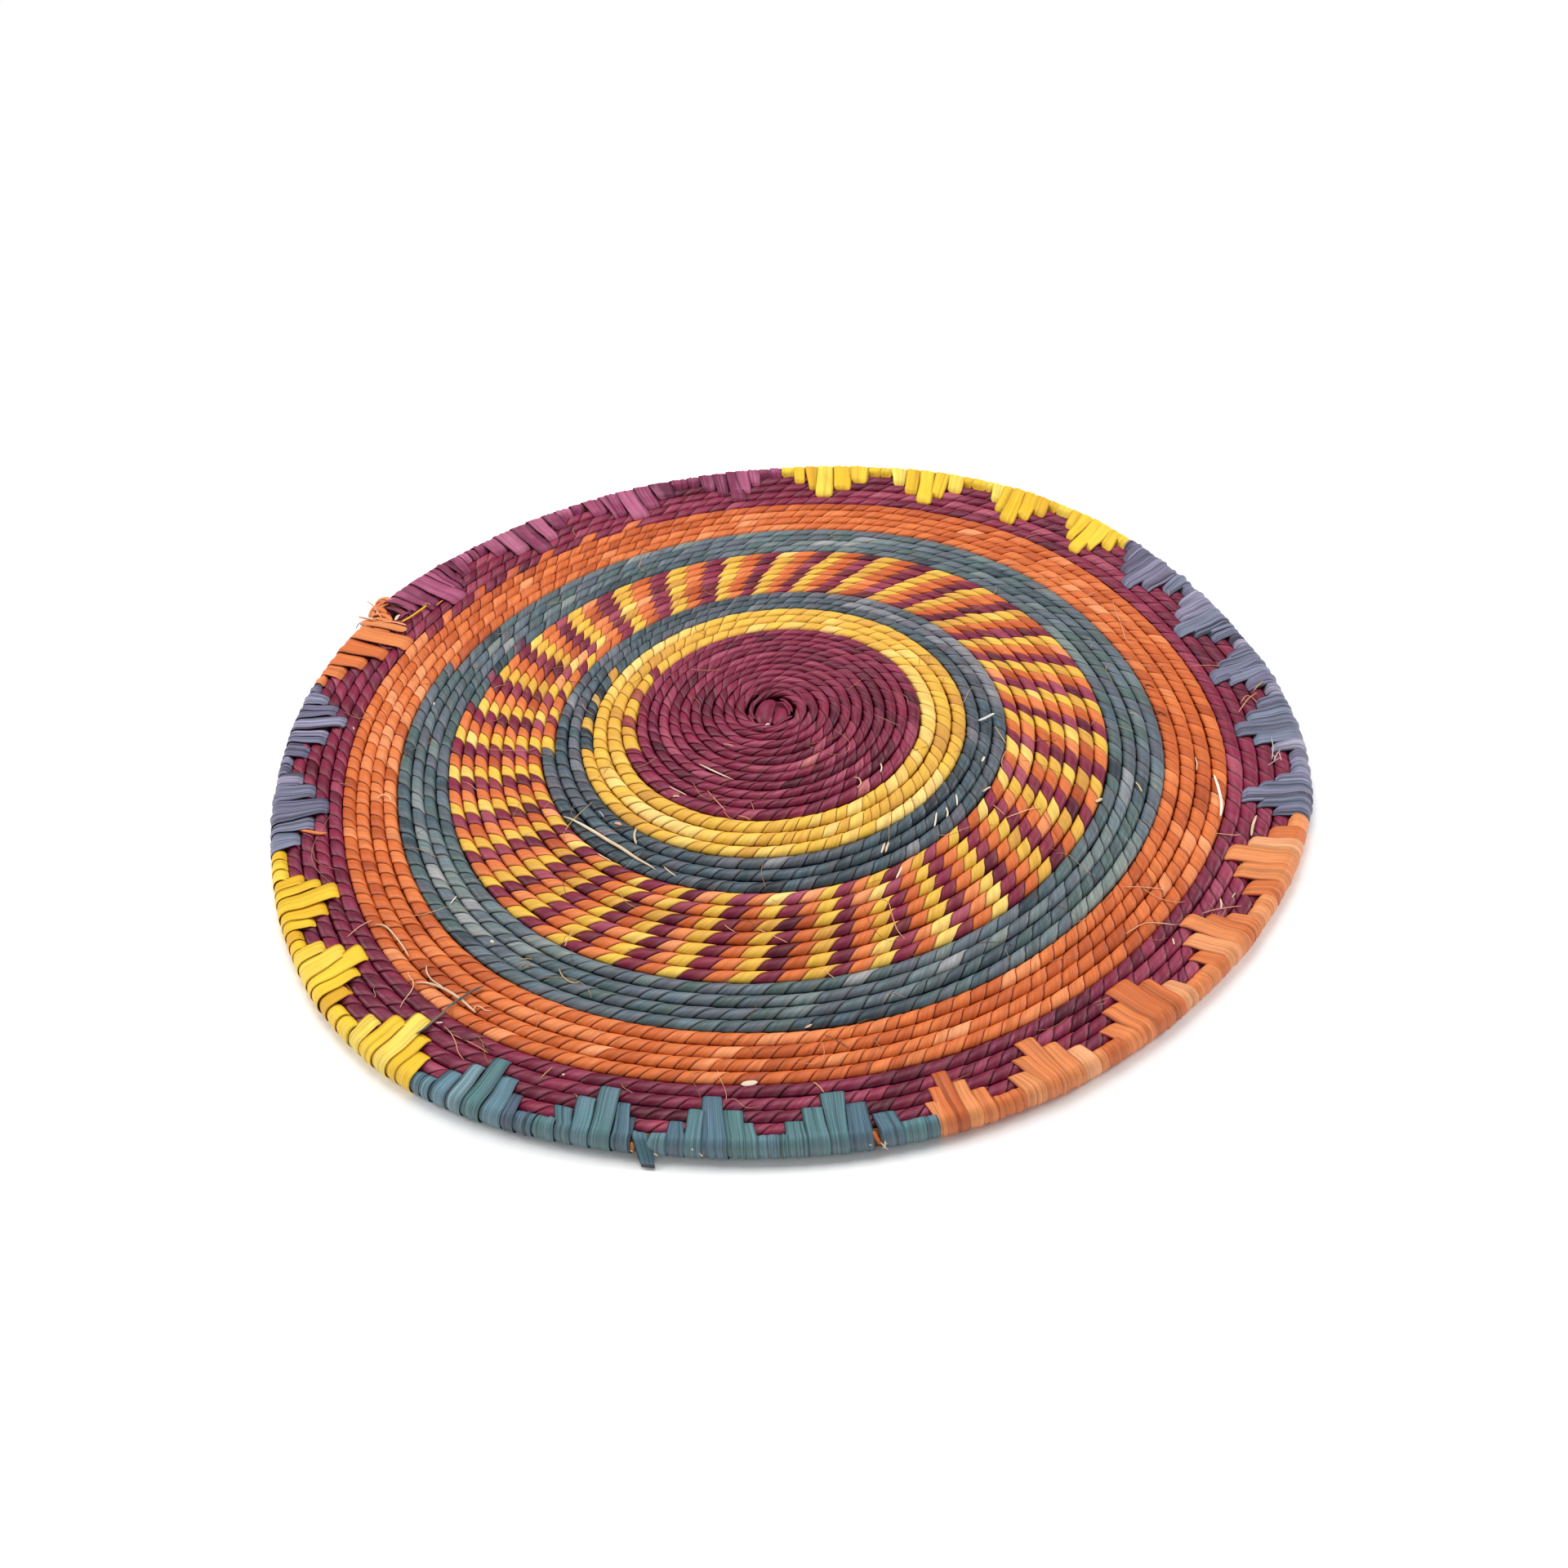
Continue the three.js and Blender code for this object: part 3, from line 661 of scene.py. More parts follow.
class Workshop:
    """Turns shells into the plate's pieces, each with its finish, body and CAD nodes."""

    def __init__(self) -> None:
        """Starts with no materials made."""
        self.materials: dict[str, bpy.types.Material] = {}

    def material(self, finish: LeafFinish) -> bpy.types.Material:
        """The material of a finish, made once."""
        if finish.name not in self.materials:
            self.materials[finish.name] = leaf_material(finish)
        return self.materials[finish.name]

    def add(self, name: str, shell: Shell, finish: LeafFinish, nodes: Sequence[str] = ()) -> None:
        """Makes a piece at the origin, with its place in its mesh.

        Args:
            name: the piece's name.
            shell: its surface.
            finish: its leaf.
            nodes: the CAD nodes that it stands for.
        """
        mesh = bpy.data.meshes.new(name)
        mesh.vertices.add(len(shell.points))
        mesh.vertices.foreach_set("co", (shell.points * METRES).astype(np.float32).ravel())
        mesh.loops.add(shell.quads.size)
        mesh.loops.foreach_set("vertex_index", shell.quads.astype(np.int32).ravel())
        mesh.polygons.add(len(shell.quads))
        mesh.polygons.foreach_set("loop_start", np.arange(0, shell.quads.size, 4, dtype=np.int32))
        mesh.polygons.foreach_set("use_smooth", np.ones(len(shell.quads), dtype=bool))
        mesh.update(calc_edges=True)
        dye = mesh.attributes.new("dye", "FLOAT_COLOR", "CORNER")
        dye.data.foreach_set("color", np.repeat(shell.dye, 4, axis=0).astype(np.float32).ravel())
        lie = mesh.attributes.new("lie", "FLOAT_VECTOR", "POINT")
        lie.data.foreach_set("vector", shell.lie.astype(np.float32).ravel())
        mesh.materials.append(self.material(finish))
        piece = placed(name, mesh)
        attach(piece, BODY)
        if nodes:
            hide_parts(*nodes)
        LOG.info("%s: %d faces", name, len(shell.quads))


@dataclass(frozen=True)
class Join:
    """Where one leaf gives way to the next: the edges of its wraps, one by one.

    Attributes:
        round: the turn at the start of whose round the angles are counted.
        edges: the angle at which each wrap starts, going on along the coil.
        leaves: the colour of each of these wraps, as its letter.
        before: the colour that the wraps just before them keep, where it isn't their band's.
    """

    round: float
    edges: tuple[float, ...]
    leaves: str
    before: Dye | None = None

    def dyes(self) -> list[Dye]:
        """The colour of each wrap."""
        letters = {"P": Dye.PLUM, "Y": Dye.YELLOW, "B": Dye.BLUE, "S": Dye.SEA, "O": Dye.ORANGE}
        return [letters[letter] for letter in self.leaves]


JOINS = (
    Join(11, (187, 178, 172.5, 166, 161, 156, 150, 144.3, 140, 135.3), "YYPYYPYYPY", Dye.PLUM),
    Join(14, (180, 174.5, 170.3, 165.3, 161, 157.5, 154, 149.5, 145.3, 140.8), "BBYBBYBBYB"),
    Join(17, (176, 171.3, 165.8, 163, 159.5, 155.5, 152.5, 149.1, 144.5, 140.5, 136.5), "YOPYOPYOPYO"),
    Join(24, (168, 164.5, 160.5, 158, 155.6, 153.3, 151, 148.5, 146.2, 143.8, 141.5, 138.3),
         "YOPSSSPSSSPS"),
    Join(28, (148.8, 146.4), "OO"),
    Join(32, (143.8, 141.9, 140, 137.8, 135.6, 133.4, 131.3, 129.2, 127.2, 125, 123, 121, 119, 116.7,
              114.4, 112.2, 109.8, 107.5, 105.2), "PPOPPOPPOPPOPPOPPOP", Dye.ORANGE),
)

# Single wraps of another colour: a pixel of the photograph that shows each, its dye and its tone
ODD_WRAPS = (
    ((1003, 928), Dye.ROSE, 0.6),
    ((1055, 971), Dye.ROSE, 0.5),
    ((1376, 948), Dye.ASH, 0.1),
    ((1366, 977), Dye.ASH, 0.0),
)


@dataclass
class Wrapping:
    """The leaf wraps over the whole coil: where each starts, and its colour.

    Attributes:
        course: the coil's way.
        view: the camera, for the wraps of another colour that were read off the photograph.
        columns: the middles of the yellow columns of the chequered band, at its last round.
        column_shift: how far the columns move on, against the coil's way, over that band inwards.
        room: how close the wraps before and after a join come to it, in turns.
        late: how far before a join the wraps keep the colour that it names, in turns.
        span: over how many wraps tones and lengths hang together.
        tone: the wraps' mean tone, how far it drifts along the coil, and how far single wraps differ.
        length: how far the wraps' lengths drift, and how far single wraps differ, as shares.
        length_limits: the shortest and the longest wrap, as shares of the mean.
        fullness: how far wraps differ in how far they stand out, as a share.
        slant: how far they differ in slant, as a share.
        samples: points along a band by which its length is measured.
        seed: for the wraps' small differences.
    """

    course: Course
    view: "Viewpoint"
    columns: tuple[float, ...] = (
        0.5, 10.5, 20.5, 30.5, 40.5, 50.5, 61.5, 71.5, 81, 91.5, 103, 115, 126.5, 136.5, 147.5, 157.5,
        167, 177, 187, 197, 207.5, 217, 227, 237, 248, 260, 272, 283, 294, 305.5, 316.5, 328, 339, 350.5)
    column_shift: float = 6.0
    room: tuple[float, float] = (0.004, 0.008)
    late: float = 0.02
    span: int = 9
    tone: tuple[float, float, float] = (0.48, 0.16, 0.17)
    length: tuple[float, float] = (0.1, 0.13)
    length_limits: tuple[float, float] = (0.55, 1.6)
    fullness: float = 0.3
    slant: float = 0.13
    samples: int = 4000
    seed: int = 11

    def __post_init__(self) -> None:
        """Lays the wraps out, band by band, with the joins' wraps put in, and dyes them."""
        rng = np.random.default_rng(self.seed)
        edges, dyes = [], []
        for band, start in zip(BANDS, self.course.starts):
            if band is CHECKER:
                turns, names = self.chequered(start, start + band.rounds)
            else:
                turns = self.even(rng, band, start, start + band.rounds)
                names = [band.dye] * len(turns)
            edges.extend(turns)
            dyes.extend(names)
        for join in JOINS:
            edges, dyes = self.joined(edges, dyes, join)
        self.edges = np.array(edges + [self.course.rim_start])
        self.dye(rng, dyes)

    def joined(self, edges: list[float], dyes: list[Dye], join: Join) -> tuple[list[float], list[Dye]]:
        """Puts a join's wraps in the place of those that lie between its first and its last.

        Args:
            edges: the turn at which each wrap starts.
            dyes: each wrap's colour.
            join: the join.

        Returns:
            The edges and the colours with the join's wraps among them.
        """
        turns = self.read_turns(join)
        before = [i for i, edge in enumerate(edges) if edge < turns[0] - self.room[0]]
        after = [i for i, edge in enumerate(edges) if edge > turns[-1] + self.room[1]]
        kept = [join.before if join.before and edges[i] > turns[0] - self.late else dyes[i] for i in before]
        return ([edges[i] for i in before] + turns + [edges[i] for i in after],
                kept + join.dyes() + [dyes[i] for i in after])

    def dye(self, rng: np.random.Generator, dyes: list[Dye]) -> None:
        """Gives each wrap its tone, its fullness, its slant and its number.

        Args:
            rng: the random source.
            dyes: each wrap's colour.
        """
        count = len(dyes)
        mean, drift, spread = self.tone
        place = mean + drift * smooth_noise(rng, count, self.span) + spread * rng.normal(size=count)
        place = place.clip(0, 1)
        self.full = 1 + self.fullness * rng.normal(size=count + 1).clip(-2, 2)
        self.lean = 1 + self.slant * rng.normal(size=count + 1).clip(-2, 2)
        self.colours = np.zeros((count, 4))
        for dye in set(dyes):
            here = np.array([name is dye for name in dyes])
            self.colours[here, :3] = dye.shades(place[here])
        self.colours[:, 3] = rng.uniform(0, LEAF_NUMBERS, count)
        for pixel, dye, tone in ODD_WRAPS:
            self.colours[self.wrap_at(pixel), :3] = dye.shades(np.array([tone]))[0]

    def wrap_at(self, pixel: tuple[float, float]) -> int:
        """The number of the wrap whose middle a pixel of the photograph shows.

        On the row's crest a wrap's edge lies back by slant * 0.5 ** bend.
        """
        course = self.course
        x, y, _ = self.view.sights(course, (pixel,))[0]
        turn, radius = course.unrolled(np.array([x]), np.array([y]))
        rounds = turn + np.arange(math.ceil(course.rim_end))
        turn = float(rounds[course.inner_edge(rounds) <= radius][-1])
        slant = BANDS[int(np.searchsorted(course.starts, turn)) - 1].slant
        back = slant * 0.5 ** WrappedCoil.bend / (TAU * float(radius[0]))
        return int(np.searchsorted(self.edges, turn + back)) - 1

    def read_turns(self, join: Join) -> list[float]:
        """The turns at which a join's wraps start, from the angles read off the photograph."""
        course = self.course
        turns = []
        for angle in join.edges:
            turn = join.round + (course.start_angle - angle) / 360
            radius = float(course.row(np.array([turn]))[0][0])
            turns.append(join.round + (course.start_angle - course.seen_angle(angle, radius)) / 360)
        return turns

    def even(self, rng: np.random.Generator, band: Band, start: float, end: float) -> np.ndarray:
        """Wraps of nearly one length: equal steps along the coil, each off by a tenth or so.

        Args:
            rng: the random source.
            band: the band, for its wrap length.
            start: its first turn.
            end: its last turn.

        Returns:
            The turn at which each wrap starts.
        """
        fine = np.linspace(start, end, self.samples)
        around = TAU * self.course.row(fine)[0]
        far = np.concatenate([[0], np.cumsum((around[1:] + around[:-1]) / 2 * np.diff(fine))])
        count = round(far[-1] / band.wrap)
        drift, spread = self.length
        steps = 1 + spread * rng.normal(size=count).clip(-2, 2) + drift * smooth_noise(rng, count, self.span)
        marks = np.concatenate([[0], np.cumsum(steps.clip(*self.length_limits))])
        return np.interp(marks / marks[-1] * far[-1], far, fine)[:-1]

    def chequered(self, start: float, end: float) -> tuple[np.ndarray, list[Dye]]:
        """Wraps in yellow, orange and plum by turns, lined up in slanting columns.

        Columns are counted with angle, from the first one on. Wraps run the other way, along the
        coil, three to a column, so column c has its yellow wrap centred at wrap number -3 * c, and
        a wrap starts at each half.

        Args:
            start: the band's first turn.
            end: its last turn.

        Returns:
            The turn at which each wrap starts, and its colour.
        """
        names = (Dye.YELLOW, Dye.ORANGE, Dye.PLUM)
        fine = np.linspace(start, end, 2 * self.samples)
        shift = self.column_shift * (1 - (fine - start) / (end - start))
        true_angle = self.course.angle(fine)
        offset = self.course.seen_angle(true_angle, self.course.row(fine)[0]) - true_angle
        angle = true_angle - offset - shift
        marks = np.array(self.columns + (self.columns[0] + 360,))
        lap = np.floor((angle - marks[0]) / 360)
        column = np.interp(angle - 360 * lap, marks, np.arange(len(marks))) + lap * len(self.columns)
        number = -len(names) * column
        first = math.ceil(number[0] - 0.5)
        halves = np.arange(first, math.floor(number[-1] - 0.5) + 1)
        turns = np.concatenate([[start], np.interp(halves + 0.5, number, fine)])
        numbers = np.concatenate([[first], halves + 1])
        return turns, [names[int(one) % len(names)] for one in numbers]


@dataclass
class WrappedCoil:
    """The coil's bands: each a fat row of leaf wraps, edge over edge.

    Attributes:
        course: the coil's way.
        wrapping: the wraps.
        shares: where a wrap's cross lines lie, from its edge to the next wrap's.
        relief: how far the leaf stands out at each cross line: it dips into the seam and swells.
        seam: how much painted shade darkens each cross line towards the seam, and below 0 how much
        painted sheen makes it paler.
        top_sides: sides of the section over the row's top.
        under_sides: sides below.
        bend: how much an edge bends back towards the row's inner side.
        squareness: how full the section is: 1 is an oval, and less is squarer.
        clearance: room between the leaf of one row and the next.
        side_relief: how much of the relief shows at a row's sides.
        leaf_width: width of leaf from a row's outer side over its top to its inner one.
        groove: how much painted shade darkens a row's sides where it meets the next row, and how
        narrow that is: the power of a cosine.
        young_rounds: over how many rounds the coil thickens from its start.
        young_share: how thick it is at its start.
        waves: hand work's unevenness: the size and the waves a round of each wave along the coil.
        phases: where the waves start that move a row sideways and up.
        up_share: how much of the waves goes up.
        early_drift: how much more uneven the coil is at its start, and over how many turns that fades.
        early_slant: how much more its wraps slant there, and over how many turns that fades.
    """

    course: Course
    wrapping: Wrapping
    shares: tuple[float, ...] = (0, 0.022, 0.06, 0.16, 0.4, 0.68, 0.9, 0.978)
    relief: tuple[float, ...] = (-0.38, -0.08, 0.14, 0.22, 0.24, 0.19, 0.08, -0.1)
    seam: tuple[float, ...] = (1, 0.5, -0.6, -0.7, -0.1, 0, 0.05, 0.4)
    top_sides: int = 10
    under_sides: int = 6
    bend: float = 1.35
    squareness: float = 0.83
    clearance: float = 0.08
    side_relief: float = 0.7
    leaf_width: float = 9.0
    groove: tuple[float, int] = (0.95, 8)
    young_rounds: float = 0.3
    young_share: float = 0.45
    waves: tuple[tuple[float, float], ...] = ((0.10, 3.17), (0.08, 7.61), (0.06, 13.37))
    phases: tuple[float, float] = (0.7, 2.1)
    up_share: float = 0.5
    early_drift: tuple[float, float] = (1.4, 2.0)
    early_slant: tuple[float, float] = (1.1, 1.6)

    def drift(self, turn: np.ndarray, phase: float) -> np.ndarray:
        """Unevenness along the coil: waves that never fall in step, larger near its start."""
        more, fade = self.early_drift
        waves = sum(size * np.sin(TAU * rate * turn + order * phase)
                    for order, (size, rate) in enumerate(self.waves, 1))
        return waves * (1 + more * np.exp(-np.maximum(turn, 0) / fade))

    def slants(self, index: int, first: int, last: int) -> np.ndarray:
        """How far each of a band's wraps slants. Bands that meet share their mean slant there.

        Args:
            index: the band's place in BANDS.
            first: the number of its first wrap.
            last: the number of the wrap after its last one.

        Returns:
            The slants of the wraps from first to last, in millimetres.
        """
        slant = BANDS[index].slant
        slants = np.full(last - first + 1, slant)
        slants[0] = (slant + BANDS[max(index - 1, 0)].slant) / 2
        slants[-1] = (slant + BANDS[min(index + 1, len(BANDS) - 1)].slant) / 2
        return self.wrapping.lean[first:last + 1] * slants

    def shell(self, index: int) -> Shell:
        """One band's surface.

        A point at wrap position t and section angle a lies at the turn
        t - slant * (a / pi) ** bend / (2 pi radius), a out of the row's outer side and over its
        top, mirrored below. There it lies out = half width * cos a and up = half height * sin a
        from the row's middle, both made larger by the relief, and tilted with the dome.

        Args:
            index: the band's place in BANDS.

        Returns:
            The band's shell.
        """
        course = self.course
        edges = self.wrapping.edges
        first = int(np.abs(edges - course.starts[index]).argmin())
        last = int(np.abs(edges - course.starts[index + 1]).argmin())
        starts, lengths = edges[first:last], np.diff(edges[first:last + 1])
        shares = np.array(self.shares)
        turns = np.append((starts[:, None] + lengths[:, None] * shares).ravel(), edges[last])
        full = self.wrapping.full[first:last]
        relief = np.append((np.array(self.relief) * full[:, None]).ravel(), self.relief[0])
        seam = np.append(np.tile(self.seam, last - first), self.seam[0])
        section = np.concatenate([np.linspace(0, math.pi, self.top_sides + 1),
                                  np.linspace(math.pi, TAU, self.under_sides + 1)[1:-1]])
        folded = np.minimum(section, TAU - section) / math.pi
        around = TAU * np.maximum(course.row(turns)[0], course.knot_edge)
        marks = np.arange(first, last + 1)
        lean = np.interp(np.append((marks[:-1, None] + shares).ravel(), last), marks,
                         self.slants(index, first, last))
        more, fade = self.early_slant
        lean = lean * (1 + more * np.exp(-turns / fade))
        back = lean[:, None] * folded[None] ** self.bend
        turn = turns[:, None] - back / around[:, None]
        middle, half = course.row(turn)
        middle = middle + self.drift(turn, self.phases[0])
        young = np.clip(turn / self.young_rounds, self.young_share, 1)
        half = (half + (course.gap - self.clearance) / 2) * young
        swell = relief[:, None]
        across, rise = (squarish(wave, self.squareness) for wave in (np.cos(section), np.sin(section)))
        out = across * (half + self.side_relief * swell)
        wave = self.up_share * self.drift(turn, self.phases[1])
        up = rise * (course.row_height / 2 + swell + wave) * young
        tilt = course.slope(middle)
        radius = middle + out * np.cos(tilt) + up * np.sin(tilt)
        height = course.middle_height(middle) - out * np.sin(tilt) + up * np.cos(tilt)
        grid = course.place(course.angle(turn), radius, height)
        along = np.concatenate([[0], np.cumsum(around[:-1] * np.diff(turns))])
        # Painted shade at the row's sides and in the seams, and painted sheen where the seam numbers fall
        # below 0
        depth, power = self.groove
        groove = depth * np.abs(np.cos(section)) ** power
        shade_and_sheen = seam[:, None] * (1 - groove) + groove
        lie = np.stack(np.broadcast_arrays(along[:, None], (folded * self.leaf_width)[None], shade_and_sheen), -1)
        quads = closed_tube(grid)
        colours = np.repeat(self.wrapping.colours[first:last], len(shares) * len(section), axis=0)
        spare = (len(quads) - len(colours)) // 2
        ends = np.concatenate([np.repeat(colours[:1], spare, 0), np.repeat(colours[-1:], spare, 0)])
        return Shell(grid.reshape(-1, 3), quads, np.concatenate([colours, ends]), lie.reshape(-1, 3))

    def build(self, shop: Workshop) -> None:
        """Makes the seven bands."""
        finishes = {finish.slot: finish for finish in
                    (PLUM_LEAF, YELLOW_LEAF, BLUE_LEAF, CHECKER_LEAF, ORANGE_LEAF)}
        for index, band in enumerate(BANDS):
            shop.add(f"{band.node}_wraps", self.shell(index), finishes[band.slot], [band.node])


@dataclass(frozen=True)
class Stretch:
    """The flat strips of one colour round the rim, counter-clockwise, read off one by one.

    Attributes:
        name: the CAD nodes' first words.
        finish: the strips' leaf.
        dye: their colour.
        start: the angle where the first strip starts.
        strips: for each strip, the angle where it ends at the rim, how many rows it covers, or 0 for
            a gap between strips, and, where they differ from the rim's, the angles between which its
            inner end lies.
    """

    name: str
    finish: LeafFinish
    dye: Dye
    start: float
    strips: tuple[tuple[float, ...], ...]


YELLOW_TOP = Stretch("yellow_top", RIM_YELLOW_LEAF, Dye.RIM_YELLOW, 35.9, (
    (38, 1), (39.2, 2, 37, 38.8), (41, 3, 38.8, 40.5), (42.4, 4, 39.7, 41.8), (44, 3, 42.3, 43.4),
    (45.6, 2, 43.6, 45), (47.7, 1), (49.1, 1), (51, 2, 48.3, 50.1), (52.7, 3, 49.8, 51.6),
    (54.2, 4, 51, 53.2), (55.6, 3, 53.8, 55), (57.3, 2, 55, 56.5), (58.1, 1), (60, 1), (61.2, 1),
    (63.3, 2, 60.8, 62.7), (65.2, 3, 62.8, 64.3), (67.2, 4, 63.7, 65.9), (69, 3, 66.5, 68.2),
    (70.9, 2, 68.7, 70.1), (72.4, 1), (74, 1), (76.4, 2, 73.9, 75.8), (78.7, 3, 75.8, 78.1),
    (80.7, 4, 78.2, 80.4), (82.4, 3, 80.7, 81.6), (83.9, 2, 82.2, 83.7), (85.5, 1)))
PLUM_TOP = Stretch("plum_top", RIM_PLUM_LEAF, Dye.RIM_PLUM, 85.5, (
    (87, 1), (88.5, 1), (90, 2, 88.6, 89.6), (91.6, 3, 90, 91), (93, 4, 90.6, 92.7),
    (94.6, 3, 93, 94.5), (96.5, 2, 94.7, 96.3), (98.1, 1), (100.4, 1), (103.2, 2, 100.3, 102.6),
    (105.2, 3, 102.8, 104.8), (107.6, 4, 104.8, 107.3), (109, 3, 107.7, 108.8),
    (110, 3, 108.8, 109.4), (112.3, 2, 109.8, 112), (114, 1), (116, 1), (117.9, 2, 115.8, 117.6),
    (120, 3, 118, 119.6), (122.4, 4, 119.9, 122.2), (124.8, 3, 122.4, 124.6),
    (126.9, 2, 124.9, 126.8), (128.3, 1), (129.3, 1), (130.4, 1), (131.7, 2, 131, 132),
    (132.7, 2, 132, 132.6), (134, 3, 133.5, 134.1), (134.7, 3, 134.1, 134.6),
    (135.6, 3, 134.6, 135.1), (138, 4, 134.7, 137.8), (140.9, 3, 138.3, 140.2),
    (142.2, 2, 140.4, 142)))
ORANGE_LEFT = Stretch("orange_left", RIM_ORANGE_LEAF, Dye.RIM_ORANGE, 147.1, (
    (149.8, 5, 146.5, 149.1), (152.6, 4, 150, 152), (155, 3, 152.3, 154.4), (157, 2, 154.7, 156.9),
    (158.8, 1, 157, 158.6)))
VIOLET_LEFT = Stretch("violet_left", RIM_VIOLET_LEAF, Dye.RIM_VIOLET, 158.8, (
    (160.2, 1), (162.6, 2, 160.4, 162), (163.8, 3, 162, 163), (165.3, 3, 163, 163.9),
    (167.4, 4, 163.9, 166.1), (168.4, 3, 166.8, 168), (169.5, 3, 168, 169.3), (172, 2, 169.4, 172),
    (173.2, 1), (175, 1), (177.3, 2, 174.8, 177), (180, 3, 177.2, 179.5), (184, 4, 180, 182.7),
    (185.4, 3, 182.8, 185.2), (188.6, 2, 185.5, 187.7)))
YELLOW_LEFT = Stretch("yellow_left", RIM_YELLOW_LEAF, Dye.RIM_YELLOW, 188.6, (
    (190, 1), (191.7, 1), (193.5, 1), (195.2, 2, 192.9, 194.6), (196.6, 3, 194.6, 195.9),
    (198.8, 4, 195.9, 198.8), (200.3, 3, 198.3, 201), (201.9, 2, 200.2, 202), (203.5, 1), (205, 1),
    (207, 2, 204.4, 206.4), (209.6, 3, 206.2, 208.4), (211, 4, 207.5, 210.5),
    (212.8, 3, 210.6, 212.1), (214.5, 2, 212.2, 213.8), (216.5, 1), (218.8, 1),
    (220.7, 2, 217.7, 219.8), (222.8, 3, 219.9, 222), (225, 4, 221.8, 224.1),
    (226.3, 3, 224.3, 226), (228.3, 2, 225.9, 227.6)))
TEAL_FRONT = Stretch("teal_front", RIM_TEAL_LEAF, Dye.RIM_TEAL, 228.3, (
    (229.4, 1), (230.6, 1), (232.7, 2, 230.6, 232.1), (234.4, 3, 232.2, 233.7),
    (236.6, 4, 233.9, 235.9), (238.8, 3, 236, 238), (240.2, 2, 238.2, 239.6), (242.2, 1), (244.4, 1),
    (246.1, 2, 243.1, 245), (248, 3, 245, 247), (250.2, 4, 246.9, 249.1), (251.9, 3, 249.4, 250.7),
    (252.3, 2, 250.8, 252), (254.0, 0), (255.7, 1), (257.5, 2, 255.5, 256.8),
    (259.2, 3, 257.3, 258.9), (261.8, 4, 258.5, 260.4), (263.5, 3, 260.7, 262.8),
    (264.7, 2, 263, 264.2), (266.8, 1), (267.7, 1), (269.6, 2, 267.4, 269.2),
    (271.7, 3, 269.3, 271.4), (273.7, 4, 271.5, 274), (276, 3, 274, 276.2),
    (276.8, 0), (279, 2, 276.4, 278.6), (281.1, 1), (282.5, 1)))
ORANGE_RIGHT = Stretch("orange_right", RIM_ORANGE_LEAF, Dye.RIM_ORANGE, 282.5, (
    (283.1, 2, 282, 283.3), (284.2, 3, 283, 284.2), (285.3, 4, 284.1, 285.6),
    (286.8, 3, 285.7, 286.9), (288.3, 2, 286.9, 288.4), (289, 1), (291.4, 1),
    (293.6, 2, 291.1, 292.9), (294.8, 3, 292.5, 294.2), (296, 4, 294, 296.2),
    (298, 3, 296.3, 297.8), (299.8, 2, 298, 299.6), (300.9, 1), (303.1, 1),
    (305.1, 2, 302.5, 304.5), (307.3, 3, 304.6, 306.8), (309.8, 4, 306.8, 310),
    (311.4, 3, 310.1, 311.7), (313.4, 2, 311.8, 313), (315.3, 1), (317.1, 1),
    (319, 2, 316.7, 318.4), (321, 3, 318.3, 320.5), (322.8, 4, 320.7, 322.9),
    (324, 3, 323.1, 324), (325.3, 2, 324, 324.9), (327.3, 1), (329, 1), (331.4, 2, 328.5, 330.6),
    (333.7, 3, 330.8, 333), (336, 4, 333.1, 335.6), (338, 3, 336.1, 337.6), (340, 2, 338, 340),
    (341.9, 1)))
VIOLET_RIGHT = Stretch("violet_right", RIM_VIOLET_LEAF, Dye.RIM_VIOLET, 341.9, (
    (343.4, 2, 342, 343), (344.8, 3, 342.8, 344), (346.2, 4, 343.4, 345.8), (347.3, 3, 346.1, 347),
    (348.7, 2, 347.3, 348.5), (350.5, 1), (352.6, 1), (354.3, 2, 352.7, 353.7),
    (355.9, 3, 353.8, 355.6), (358, 4, 355.5, 357.7), (360.2, 3, 358, 359.6),
    (362.1, 2, 360, 361.8), (364.1, 1), (366.3, 2, 364, 365.3), (367.6, 3, 365.2, 367.3),
    (369, 4, 365.8, 368.2), (370, 3, 368.7, 369.8), (371.2, 2, 370, 371), (372.6, 1), (373.9, 1),
    (375, 2), (376, 2), (377.5, 3, 375.6, 377), (379.3, 4, 376.3, 378.5), (381.5, 3, 379.3, 381.3),
    (383.5, 2, 381.6, 383), (385, 1), (387.2, 2, 384.8, 386.5), (389.3, 3, 387, 389),
    (391.5, 4, 389, 391), (393.7, 3, 391.7, 393.2), (395, 2, 393.7, 394.4), (396.2, 1)))
STRETCHES = (YELLOW_TOP, PLUM_TOP, ORANGE_LEFT, VIOLET_LEFT, YELLOW_LEFT, TEAL_FRONT, ORANGE_RIGHT,
             VIOLET_RIGHT)


